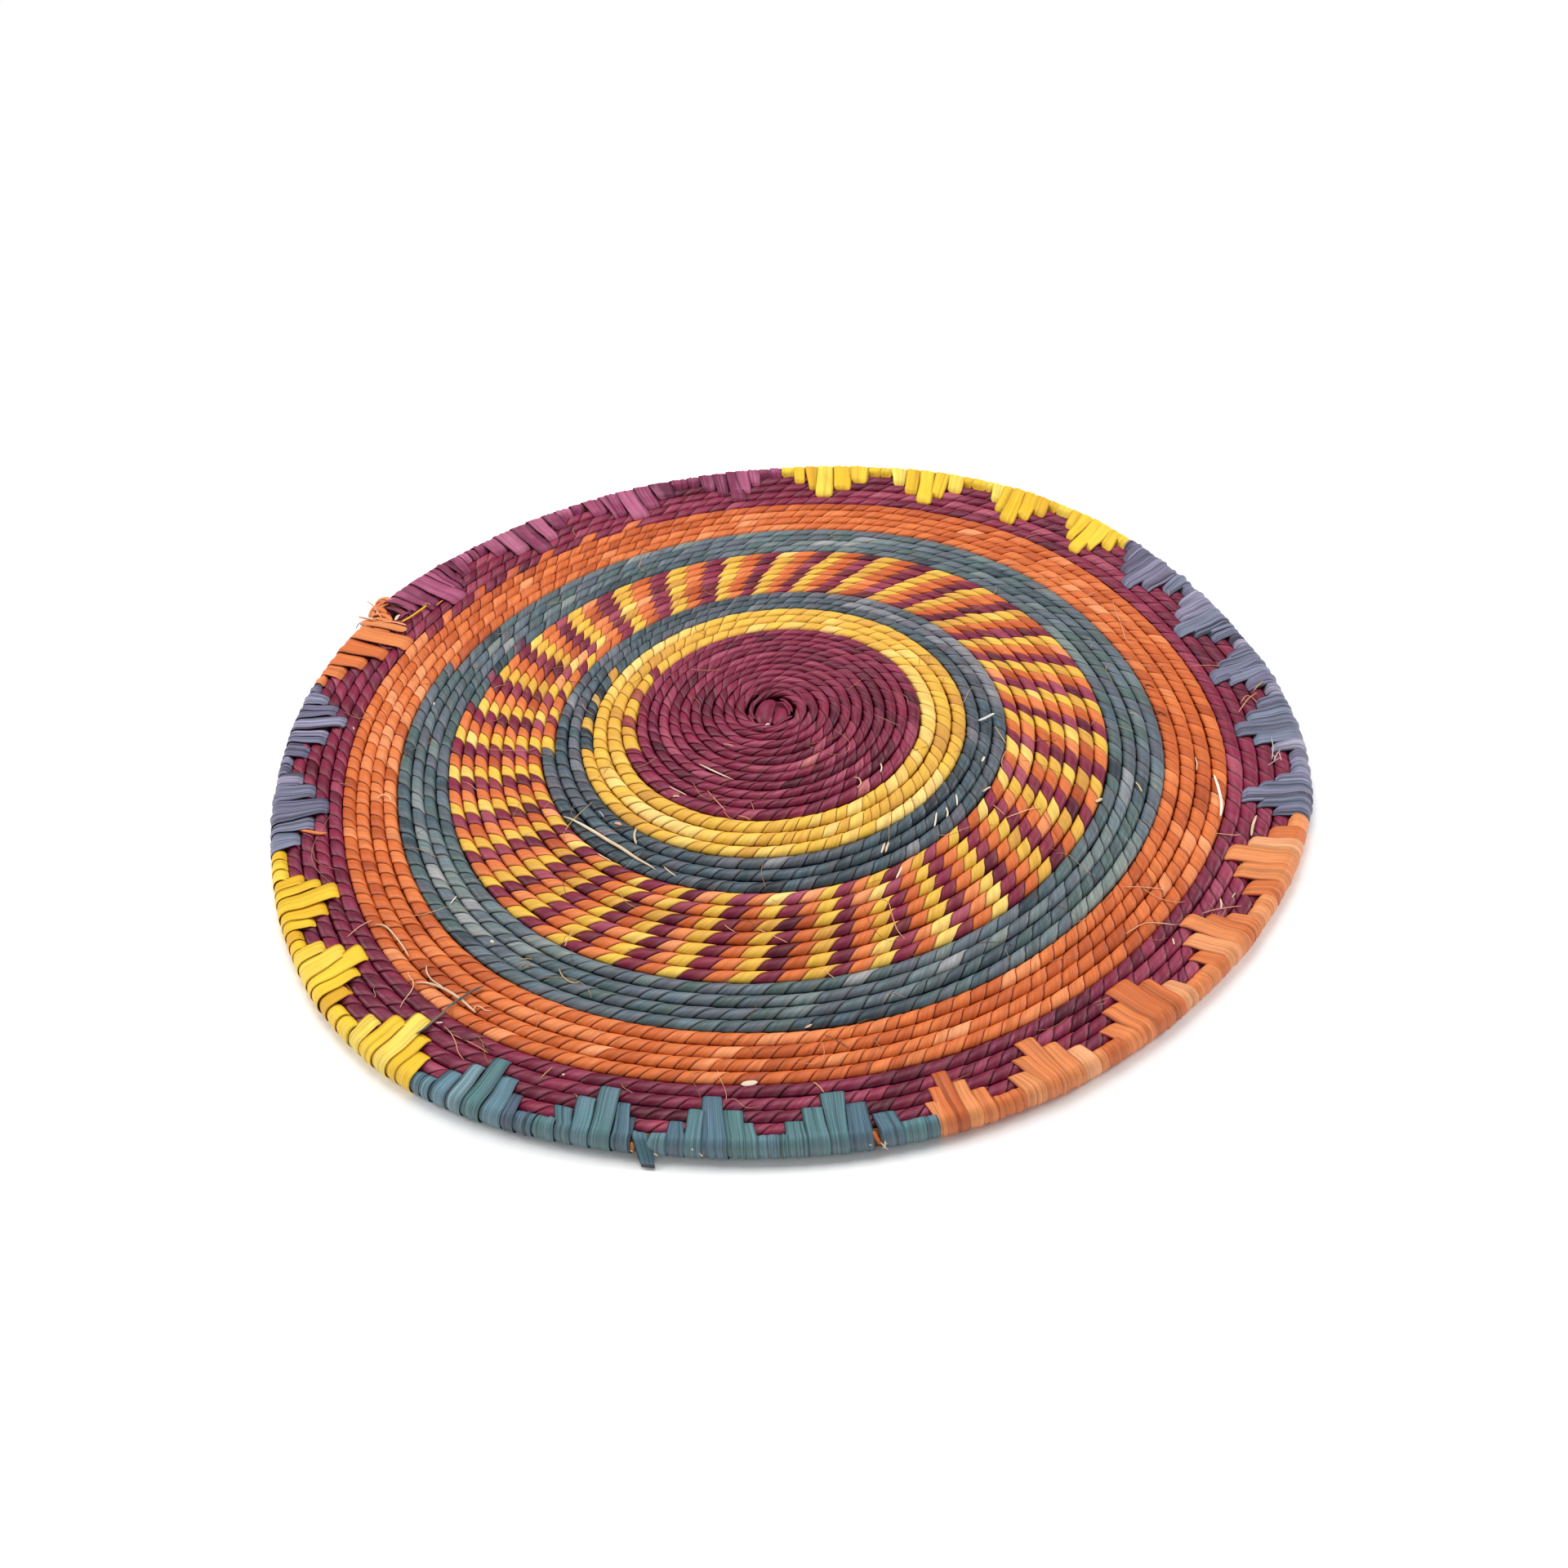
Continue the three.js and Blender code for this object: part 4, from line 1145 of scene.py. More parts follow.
@dataclass
class StripWork:
    """Cuts and lays flat strips of leaf: thin closed sheets along a way round the rim.

    Attributes:
        course: the coil's way.
        thickness: of the leaf.
        across: points across a strip.
        along: points along a strip.
        rounding: how softly a strip bends.
        lift: how far a strip's middle lies off the bundle.
        tilt: how much higher a strip's leading edge lies than its other one.
        tuck: how far a strip runs on under its neighbour.
        corner: over what length a strip's corners are rounded where it goes into its groove.
        rim_sheen: how strong the painted sheen is where a strip bends round the rim's outside.
        sheen_reach: how far in the painted sheen goes, in thicknesses.
        dive: the angles on the last row's section at which a strip goes down.
        sweep: the angles on the rim's section that it bends round.
        fullness: how full that bend is: 1 is an oval, and less is squarer.
        root: how far over the row's middle it goes into its groove.
        flat_end: the share of the corner's length over which it has neither tilt nor relief.
        narrowing: how much of its width it loses at its end.
        thinning: the share of its thickness that it loses at its edges.
        tucked_edge_shade: how dark the painted shade is along the edge under its neighbour, and how
            sharply that starts.
        open_edge_shade: the same for the painted shade along its other edge.
        floor_gap: how far it stays over the floor.
    """

    course: Course
    thickness: float = 0.34
    across: int = 11
    along: int = 44
    rounding: float = 1.3
    lift: float = 0.66
    tilt: float = 0.3
    tuck: float = 0.6
    corner: float = 1.4
    rim_sheen: float = 1.0
    sheen_reach: float = 3.0
    dive: tuple[float, ...] = (158, 130, 100)
    sweep: tuple[float, ...] = (-100, -75, -50, -25, 0, 25, 50, 75, 100)
    fullness: float = 0.9
    root: float = 0.9
    flat_end: float = 0.6
    narrowing: float = 0.16
    thinning: float = 0.65
    tucked_edge_shade: tuple[float, int] = (0.8, 5)
    open_edge_shade: tuple[float, int] = (0.25, 12)
    floor_gap: float = 0.03

    def way(self, turn: float, depth: int) -> np.ndarray:
        """The way of a strip along the coil's surface, in the plane of radius and height.

        It comes out of the groove below, runs out under the rows, round the rim, over the rows'
        tops, and down into the groove that is depth rows in.

        Args:
            turn: the rim's turn at the strip's middle.
            depth: how many rows it covers, with the rim's own.

        Returns:
            Corners of the way: radius and height.
        """
        course = self.course
        rows = turn - np.arange(depth)
        middle, half = course.row(rows)
        height = course.middle_height(middle)
        groove = float(course.inner_edge(np.array([rows[-1]]))[0])
        rim, rim_half, rise = (float(value[0]) for value in course.rim_row(rows[:1]))
        row_rise = course.row_height / 2
        dive, sweep = np.radians(self.dive), np.radians(self.sweep)
        side = np.stack([rim + rim_half * squarish(np.cos(sweep), self.fullness),
                         height[0] + rise * squarish(np.sin(sweep), self.fullness)], -1)
        spot, wide, tall = (rim, rim_half, rise) if depth == 1 else (middle[-1], half[-1], row_rise)
        ends = np.stack([spot + wide * np.cos(dive), height[-1] + tall * np.sin(dive)], -1)
        crests = np.stack([middle[1:], height[1:] + row_rise], -1)[::-1]
        root = [[groove, height[-1] + self.root]]
        top = np.concatenate([root, ends, crests])
        under = np.concatenate([root, ends]) * np.array([1, -1]) + np.array([0, 2 * height[-1]])
        return np.concatenate([under, side, top[::-1]])

    def sheet(self, way: np.ndarray, edges: np.ndarray, colour: np.ndarray, relief: np.ndarray,
              lift: float) -> Shell:
        """A strip as a thin closed sheet.

        A point at s along and x across lies at the way's place plus its outward normal times
        lift + tilt * x + relief(x), at the angle between the strip's edges there. Tilt and relief
        fade out where it dives into its groove. The lower side lies a leaf's thickness further in,
        and the thickness falls to a third at the edges.

        Args:
            way: radius and height, already rounded.
            edges: for each point of the way, the angles of the strip's two edges.
            colour: the strip's linear colour and number.
            relief: how far each lane across the strip stands out.
            lift: how far the strip's middle lies off the way.

        Returns:
            The strip's shell.
        """
        step = np.gradient(way, axis=0)
        normal = np.stack([step[:, 1], -step[:, 0]], -1)
        normal /= np.linalg.norm(normal, axis=1)[:, None]
        x = np.linspace(-1, 1, self.across)
        thick = self.thickness * (1 - self.thinning * np.abs(x) ** 6)
        far = far_along(way)[:, None]
        fade = np.clip(np.minimum(far, far[-1] - far) / self.corner - self.flat_end, 0, 1)
        outer = lift + (self.tilt * x + relief) * fade
        lanes = np.concatenate([outer, (outer - thick)[:, ::-1]], axis=1)
        spread = np.concatenate([x, x[::-1]])
        radius = way[:, :1] + normal[:, :1] * lanes
        height = np.maximum(way[:, 1:] + normal[:, 1:] * lanes, self.floor_gap)
        angle = edges.mean(1)[:, None] + (edges[:, 1] - edges[:, 0])[:, None] / 2 * spread
        grid = self.course.place(angle, radius, height)
        width = math.radians(float(np.ptp(edges, axis=1).mean())) * self.course.rim_radius
        # Painted shade along both edges, darker along the one under its neighbour
        tucked, open_shade = (shade * np.abs(spread) ** power
                        for shade, power in (self.tucked_edge_shade, self.open_edge_shade))
        edge = np.where(spread < 0, tucked, open_shade)
        # Painted sheen where the strip bends round the rim's outside
        inwards = (way[:, :1].max() - way[:, :1]) / self.thickness / self.sheen_reach
        sheen_share = self.rim_sheen * np.exp(-inwards ** 2)
        lie = (spread * width / 2, far, edge - sheen_share)
        return Shell.of_one_leaf(grid, lie, colour)

    def strip(self, rim: tuple[float, float], inner: tuple[float, float], depth: int,
              colour: np.ndarray, relief: np.ndarray, raised: float, sway: np.ndarray) -> Shell:
        """One strip round the rim, which leans from its place at the rim to its inner end.

        Args:
            rim: the angles of its edges at the rim.
            inner: the angles of its edges at its inner end.
            depth: how many rows it covers.
            colour: its linear colour and number.
            relief: how far each lane across it stands out.
            raised: how much further off the bundle it lies than its neighbours.
            sway: how far its two edges stray along the way, in millimetres.

        Returns:
            The strip's shell.
        """
        turn = self.course.turn_near(sum(rim) / 2, self.course.rim_start)
        way = smooth_way(self.way(turn, depth), self.rounding, self.along)
        top = self.course.row(np.array([turn]))[0][0]
        share = np.clip((top - way[:, 0]) / (top - way[:, 0].min()), 0, 1)[:, None]
        edges = np.array([rim]) * (1 - share) + np.array([inner]) * share
        a_millimetre = math.degrees(1 / self.course.rim_radius)
        edges = edges + (sway - np.array([self.tuck, 0])) * a_millimetre
        far = far_along(way)
        left = np.minimum(far, far[-1] - far) / self.corner
        narrow = self.narrowing * np.clip(1 - left, 0, 1)[:, None] ** 2
        edges = edges * (1 - narrow) + edges[:, ::-1] * narrow
        return self.sheet(way, edges, colour, relief, self.lift + raised)


@dataclass
class RimStrips:
    """The stepped blocks of flat strips round the rim.

    Attributes:
        work: how strips are cut and laid.
        crown: how much a strip swells in its middle.
        sway: how far a strip's edges stray from straight.
        tone: the strips' mean tone, and how far each lies off it.
        fold_share: height of a strip's folds, as a share of its leaf's.
        step_rise: how much higher a strip lies for each row more that it covers.
        height_spread: how unevenly high the strips lie.
        seed: for the strips' small differences.
    """

    work: StripWork
    crown: float = 0.16
    sway: float = 0.26
    tone: tuple[float, float] = (0.48, 0.22)
    fold_share: float = 0.6
    step_rise: float = 0.08
    height_spread: float = 0.12
    seed: int = 23

    def build(self, shop: Workshop) -> None:
        """Makes one piece for each CAD block, from the strips that lie nearest to its middle."""
        rng = np.random.default_rng(self.seed)
        for stretch in STRETCHES:
            nodes = [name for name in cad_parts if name.startswith(stretch.name + "_strips_")]
            middles = np.array([self.middle(node) for node in nodes])
            blocks: dict[str, list[Shell]] = {node: [] for node in nodes}
            start = stretch.start
            for entry in stretch.strips:
                end, depth = entry[0], int(entry[1])
                inner = (entry[2], entry[3]) if len(entry) == 4 else (start, end)
                if depth:
                    shell = self.one(rng, stretch, (start, end), inner, depth)
                    off = (middles - (start + end) / 2 + 180) % 360 - 180
                    blocks[nodes[int(np.abs(off).argmin())]].append(shell)
                start = end
            for node, shells in blocks.items():
                shop.add(f"{node}_leaf", Shell.joined(shells), stretch.finish, [node])

    def middle(self, node: str) -> float:
        """The angle at which a CAD block's box has its middle, seen from the coil's centre."""
        low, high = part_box(node)
        spot = (np.array(low) + np.array(high)) / 2 / METRES - self.work.course.centre
        return math.degrees(math.atan2(spot[1], spot[0])) % 360

    def one(self, rng: np.random.Generator, stretch: Stretch, rim: tuple[float, float],
            inner: tuple[float, float], depth: int) -> Shell:
        """One strip with its own tone, folds, edges and height."""
        course = self.work.course
        tone = float(np.clip(self.tone[0] + self.tone[1] * rng.normal(), 0, 1))
        colour = stretch.dye.leaf(tone, rng.uniform(0, LEAF_NUMBERS))
        x = np.linspace(-1, 1, self.work.across)
        waves = sum(rng.normal() * np.sin(k * math.pi * x + rng.uniform(0, TAU)) for k in (2, 3, 4))
        fold = self.fold_share * stretch.finish.pleat_relief
        relief = self.crown * (1 - x ** 2) + fold * waves * (1 - np.abs(x) ** 4)
        along = np.linspace(0, 1, self.work.along)[:, None]
        sway = sum(self.sway / k * rng.normal(size=2) * np.sin(k * math.pi * along + rng.uniform(0, TAU))
                   for k in (1, 2, 3, 5))
        inner_radius = course.rim_radius - RIM_PITCH * (depth - 0.5)
        rim_true = tuple(course.seen_angle(angle, course.rim_radius) for angle in rim)
        inner_true = tuple(course.seen_angle(angle, inner_radius) for angle in inner)
        raised = self.step_rise * (depth - 1) + self.height_spread * rng.uniform(-1, 1)
        return self.work.strip(rim_true, inner_true, depth, colour, relief, raised, sway)


@dataclass
class Knot:
    """The knot at the start: a button of folded leaf that the coil winds round.

    Attributes:
        course: the coil's way.
        loose: lays the leaves that lie over the button.
        radius: of the button.
        half_height: of the button.
        sink: how far its middle lies below the coil's.
        fullness: how full its section is: 1 is an oval, and less is squarer.
        folds: where each fold of the top lies across it, and its height.
        fold_share: how much of those heights shows.
        fold_angle: the angle across which the folds lie.
        fold_bow: how much they are bowed.
        fold_edge: width of a fold's slope.
        seam: width of the dark line along a fold.
        shade: how dark that line is.
        rows: points from pole to pole.
        sides: points round it.
        pole: how far the first row lies from the pole, in radians.
    """

    course: Course
    loose: "LooseWork"
    radius: float = 5.9
    half_height: float = 1.6
    sink: float = 0.5
    fullness: float = 0.8
    folds: tuple[tuple[float, float], ...] = ((-1.0, 0.5), (2.6, -0.45))
    fold_share: float = 0.3
    fold_angle: float = 60.0
    fold_bow: float = 0.12
    fold_edge: float = 0.12
    seam: float = 0.25
    shade: float = 0.8
    rows: int = 26
    sides: int = 48
    pole: float = 0.02

    def build(self, shop: Workshop) -> None:
        """Makes the button.

        Its section goes from the top pole, out to the widest place and in below:
        r = radius * sin(u) ** fullness and z = half height * cos(u) - sink, for u from 0 to pi.
        Folds are steps that run across the top along slanting lines.
        """
        course = self.course
        u = np.linspace(self.pole, math.pi - self.pole, self.rows)[:, None]
        v = np.linspace(0, TAU, self.sides, endpoint=False)[None]
        r = self.radius * np.sin(u) ** self.fullness
        x, y = r * np.cos(v), r * np.sin(v)
        lean = math.radians(self.fold_angle)
        cross = x * math.cos(lean) - y * math.sin(lean) + self.fold_bow * y ** 2 / self.radius
        step = sum(size / (1 + np.exp(-(cross - spot) / self.fold_edge)) for spot, size in self.folds)
        folded = np.where(np.cos(u) > 0, self.fold_share * step * np.cos(u), 0)
        z = float(course.middle_height(np.zeros(1))[0]) - self.sink + self.half_height * np.cos(u) + folded
        grid = np.stack(np.broadcast_arrays(x + course.centre[0], y + course.centre[1], z), -1)
        # Painted shade: a dark line along each fold of the top
        seam = sum(np.exp(-((cross - spot) / self.seam) ** 2) for spot, _ in self.folds)
        button = Shell.of_one_leaf(grid, (cross, y, self.shade * seam), Dye.PLUM.leaf(0.2, 3.0))
        petals = [self.loose.strand(strand) for strand in KNOT_LEAVES]
        shop.add("start_knot_leaf", Shell.joined([button] + petals), PLUM_LEAF, ["start_knot"])


@dataclass
class RimBundle:
    """The thick bundle of fibre inside the rim's strips: it shows in the gaps between them.

    Attributes:
        course: the coil's way.
        stations: points along it.
        sides: points round it.
        strands: how many strands its section shows.
        strand_height: how far they stand out.
        twist: how far they turn round it in one turn of the coil, in radians.
        inset: how far it lies inside the strips.
        end_gap: how far it keeps from the coil's end, in turns.
        lane: millimetres across the fibres for a radian round it.
    """

    course: Course
    stations: int = 420
    sides: int = 24
    strands: int = 9
    strand_height: float = 0.18
    twist: float = 220.0
    inset: float = 0.1
    end_gap: float = 0.0005
    lane: float = 3.0

    def build(self, shop: Workshop) -> None:
        """Makes the bundle: an oval tube along the last round, ribbed by twisted strands."""
        course = self.course
        turn = np.linspace(course.rim_start + self.end_gap, course.rim_end - self.end_gap, self.stations)
        middle, half, rise = (value[:, None] for value in course.rim_row(turn))
        section = np.linspace(0, TAU, self.sides, endpoint=False)[None]
        ribs = self.strand_height * np.sin(self.strands * section + self.twist * turn[:, None])
        radius = middle + (half + ribs - self.inset) * np.cos(section)
        height = course.rim_middle + (rise + ribs - self.inset) * np.sin(section)
        grid = course.place(course.angle(turn)[:, None], radius, height)
        far = TAU * course.rim_radius * (turn - turn[0])[:, None]
        shell = Shell.of_one_leaf(grid, (section * self.lane, far, 0 * far), Dye.BROWN.leaf(0.5, 1.0))
        shop.add("rim_coil_fibres", shell, BUNDLE_FIBRE, ["rim_coil"])


@dataclass(frozen=True)
class Viewpoint:
    """Where the camera stands: on the plate's front, above it, a little turned.

    Attributes:
        target: the point it looks at before it is turned, from the coil's centre, in millimetres.
        distance: from that point.
        elevation: above the floor.
        roll: turn about its own line of sight.
        yaw: turn to the side.
        pitch: turn up or down.
        focal_pixels: focal length, in pixels of the photograph.
        sensor: width of the sensor.
        levels: the height from which lines of sight are followed down, and in how many levels.
    """

    target: tuple[float, float, float] = (-1.15, -2.23, 6.95)
    distance: float = 900.2
    elevation: float = 40.80
    roll: float = -5.46
    yaw: float = -0.15
    pitch: float = 0.67
    focal_pixels: float = 3000.0
    sensor: float = 36.0
    levels: tuple[float, int] = (40.0, 1601)

    def stand(self, course: Course) -> tuple[np.ndarray, np.ndarray]:
        """The camera's place and its axes, which point right, down and ahead, one in each row.

        The axes are the line of sight's, turned by yaw, pitch and roll.
        """
        lift = math.radians(self.elevation)
        back = np.array([0, -math.cos(lift), math.sin(lift)])
        spot = course.centre + np.array(self.target) + self.distance * back
        right = np.array([1.0, 0, 0])
        axes = np.array([right, np.cross(-back, right), -back])
        turned = np.array(Matrix.Rotation(math.radians(self.roll), 3, "Z")
                          @ Matrix.Rotation(math.radians(self.pitch), 3, "X")
                          @ Matrix.Rotation(math.radians(self.yaw), 3, "Y")) @ axes
        return spot, turned

    def sights(self, course: Course, way: Sequence[tuple[float, float]]) -> np.ndarray:
        """The places on the plate that pixels of the photograph show.

        Each line of sight is followed down in small steps of height, to the first step that is no
        higher than the plate's cover there, or, where it passes the plate by, to the rim's height.

        Args:
            course: the coil's way.
            way: pixels, counted right and down.

        Returns:
            Places in millimetres, one row for each pixel.
        """
        spot, axes = self.stand(course)
        middle = PHOTO_PIXELS / 2
        pixels = np.array([(x - middle, y - middle, self.focal_pixels) for x, y in way])
        ahead = pixels @ axes
        height = np.linspace(self.levels[0], 0, self.levels[1])
        far = (height[None] - spot[2]) / ahead[:, 2:]
        x, y = (spot[i] + far * ahead[:, i:i + 1] for i in (0, 1))
        cover = course.cover(x, y)
        met = (height[None] <= cover) & (cover > 0)
        passed = ~met.any(axis=1)
        met[passed] = height <= course.rim_middle
        first = np.argmax(met, axis=1)
        line = np.arange(len(pixels))
        return np.stack([x[line, first], y[line, first], height[first]], -1)

    def build(self, course: Course) -> None:
        """Makes the camera."""
        spot, turned = self.stand(course)
        facing = (np.diag([1, -1, -1]) @ turned).T
        data = bpy.data.cameras.new("camera")
        data.sensor_fit = "HORIZONTAL"
        data.sensor_width = self.sensor
        data.lens = self.focal_pixels / PHOTO_PIXELS * self.sensor
        data.clip_start = 0.02
        camera = placed("camera", data)
        camera.matrix_world = Matrix.Translation(spot * METRES) @ Matrix(facing.tolist()).to_4x4()
        bpy.context.scene.camera = camera


@dataclass(frozen=True)
class Strand:
    """A loose length of leaf or fibre, thinned to its two ends.

    Attributes:
        dye: its colour.
        tone: its tone in that dye, from 0 to 1.
        width: at its widest.
        way: where it lies, as pixels of the photograph, right and down.
        depth: its thickness, as a share of its width.
        lift: how far its middle line lies over the plate's cover, at even steps along it.
        bluntness: how full its ends are: 2 is an oval, and more is blunter.
    """

    dye: Dye
    tone: float
    width: float
    way: tuple[tuple[float, float], ...]
    depth: float = 0.6
    lift: tuple[float, ...] = (0.2,)
    bluntness: float = 5.0


def strands(*rows: tuple) -> list[Strand]:
    """Strands, each from the row of its values."""
    return [Strand(*row) for row in rows]


KNOT_LEAVES = strands(
    (Dye.PLUM, 0.45, 7.4, ((951, 854), (941, 860), (935, 872), (938, 888)), 0.68, (-1.7, -1.6, -2.0),
     2.4),
    (Dye.PLUM, 0.6, 6.2, ((957, 861), (957, 872), (950, 887)), 0.66, (-2.1, -2.0, -2.2), 2.4),
    (Dye.PLUM, 0.4, 1.0, ((950, 860), (960, 860), (966, 868), (967, 876)), 0.6, (0.0, -0.3)),
    (Dye.PLUM, 0.6, 1.1, ((953, 855), (960, 856), (967, 862), (970, 871)), 0.6, (-0.2, -0.7)),
    (Dye.PLUM, 0.5, 1.8, ((953, 837), (967, 839), (978, 846), (985, 855), (989, 864)), 0.4, (-0.45,),
     2.5),
    (Dye.PLUM, 0.6, 1.3, ((931, 835), (920, 841), (914, 850), (912, 860)), 0.4, (-0.3,), 2.5),
    (Dye.PLUM, 0.4, 1.5, ((980, 874), (970, 885), (957, 891), (944, 896)), 0.4, (-0.25,), 2.5),
    (Dye.PLUM, 0.6, 1.3, ((972, 876), (960, 881), (950, 888)), 0.4, (-0.1,), 2.5),
    (Dye.PLUM, 0.4, 1.0, ((915, 874), (925, 887), (936, 896)), 0.4, (-0.1,), 3),
    (Dye.ROSE, 0.8, 0.9, ((884, 911), (892, 912), (901, 915)), 0.3, (0.1,), 2),
    (Dye.PALE, 0.9, 0.6, ((937, 889), (940, 886), (943, 888)), 0.5, (0.1,), 3),
)
COIL_END = strands(
    (Dye.RIM_PLUM, 0.45, 2.6, ((472, 737), (486, 738), (501, 744), (511, 750)), 0.3, (0.6,), 4),
    (Dye.RIM_PLUM, 0.1, 2.6, ((472, 744), (486, 747), (498, 753)), 0.4, (0.2,), 4),
    (Dye.RIM_PLUM, 0.4, 2.2, ((488, 760), (495, 753), (503, 751)), 0.4, (0.5,), 3),
    (Dye.RIM_ORANGE, 0.6, 2.0, ((459, 742), (464, 735), (472, 733), (480, 736)), 0.5, (0.3,), 3),
    (Dye.RIM_ORANGE, 0.1, 2.6, ((460, 747), (467, 741), (476, 739)), 0.4, (-0.4,), 3),
    (Dye.RIM_ORANGE, 0.8, 1.7, ((475, 742), (466, 744), (459, 750), (456, 758)), 0.4, (0.5, 0.3), 3),
    (Dye.RIM_ORANGE, 0.35, 3.0, ((457, 745), (466, 746), (475, 752)), 0.4, (0.0,), 3),
    (Dye.RIM_ORANGE, 0.45, 2.4, ((454, 756), (464, 753), (475, 756), (481, 763)), 0.5, (0.5,), 3),
    (Dye.RIM_ORANGE, 0.75, 2.2, ((452, 761), (463, 758), (473, 761), (479, 766)), 0.4, (0.4,), 3),
    (Dye.RIM_ORANGE, 0.8, 0.6, ((447, 741), (453, 742), (460, 748), (465, 756), (471, 765)), 0.6, (2.4,
     1.8, 1.5)),
    (Dye.RIM_ORANGE, 0.5, 0.8, ((437, 759), (445, 760), (455, 762), (469, 766)), 0.6, (1.6, 1.2)),
    (Dye.RIM_ORANGE, 0.4, 3.6, ((479, 736), (467, 737), (458, 745), (452, 757)), 0.4, (-0.6, -0.2), 3),
    (Dye.RIM_ORANGE, 0.7, 4.2, ((441, 764), (460, 766), (480, 770), (500, 775)), 0.2, (0.9, 1.3, 1.0),
     12),
    (Dye.RIM_ORANGE, 0.3, 1.6, ((442, 767), (460, 771), (480, 776)), 0.3, (0.6, 0.8), 4),
    (Dye.RIM_ORANGE, 0.9, 1.0, ((470, 765), (486, 766), (500, 770)), 0.4, (1.9, 1.7)),
    (Dye.PALE, 0.6, 1.8, ((485, 763), (487, 758), (491, 755)), 0.3, (1.2,), 3),
    (Dye.RIM_YELLOW, 0.2, 1.3, ((491, 767), (504, 759), (516, 750), (525, 743)), 0.5, (1.8, 1.4, 1.2),
     12),
    (Dye.STRAW, 0.5, 0.5, ((517, 747), (525, 742), (528, 745)), 0.6, (1.6,)),
    (Dye.RIM_ORANGE, 0.5, 0.9, ((534, 743), (543, 736)), 0.5, (0.6,)),
    (Dye.GREY, 0.8, 0.4, ((436, 772), (439, 766), (445, 763)), 0.6, (0.6, 1.0)),
    (Dye.BROWN, 0.6, 1.6, ((440, 768), (456, 771), (472, 775)), 0.4, (0.1,)),
)
TUFTS = strands(
    (Dye.BROWN, 0.9, 1.9, ((774, 1398), (774, 1412)), 0.5, (0.2,)),
    (Dye.RIM_ORANGE, 0.2, 0.9, ((773, 1400), (776, 1409)), 0.6, (0.7,)),
    (Dye.PALE, 0.8, 0.9, ((772, 1410), (776, 1411)), 0.6, (0.8,)),
    (Dye.STRAW, 0.7, 0.5, ((778, 1412), (782, 1415)), 0.6, (0.8,)),
    (Dye.PALE, 0.9, 0.8, ((800, 1413), (806, 1416)), 0.6, (0.5,)),
    (Dye.PALE, 1.0, 0.5, ((848, 1407), (848, 1410)), 0.5, (0.4,)),
    (Dye.PALE, 0.8, 0.6, ((856, 1412), (861, 1418)), 0.6, (0.5,)),
    (Dye.RIM_ORANGE, 0.1, 1.5, ((1068, 1384), (1073, 1394), (1079, 1403)), 0.5, (0.3,)),
    (Dye.BROWN, 0.2, 0.8, ((1065, 1393), (1067, 1404)), 0.5, (0.3,)),
    (Dye.PALE, 0.7, 0.9, ((1064, 1402), (1068, 1404)), 0.6, (0.8,)),
    (Dye.PALE, 0.6, 0.6, ((1078, 1400), (1084, 1407), (1089, 1410)), 0.6, (0.8,)),
    (Dye.PALE, 0.7, 0.6, ((1084, 1398), (1084, 1405), (1080, 1409)), 0.6, (0.8,)),
    (Dye.PALE, 0.5, 0.5, ((1080, 1404), (1088, 1402)), 0.6, (0.9,)),
    (Dye.ASH, 0.7, 0.35, ((1556, 904), (1559, 917), (1557, 935)), 0.6, (1.0, 1.4)),
    (Dye.ASH, 0.6, 0.35, ((1568, 920), (1563, 927), (1559, 936)), 0.6, (1.1, 1.4)),
    (Dye.ASH, 0.5, 0.3, ((1551, 941), (1559, 936), (1568, 930)), 0.6, (1.2,)),
    (Dye.ASH, 0.8, 0.3, ((1566, 924), (1569, 935)), 0.6, (1.2,)),
    (Dye.ASH, 0.3, 0.35, ((1557, 925), (1563, 934)), 0.6, (1.2,)),
)
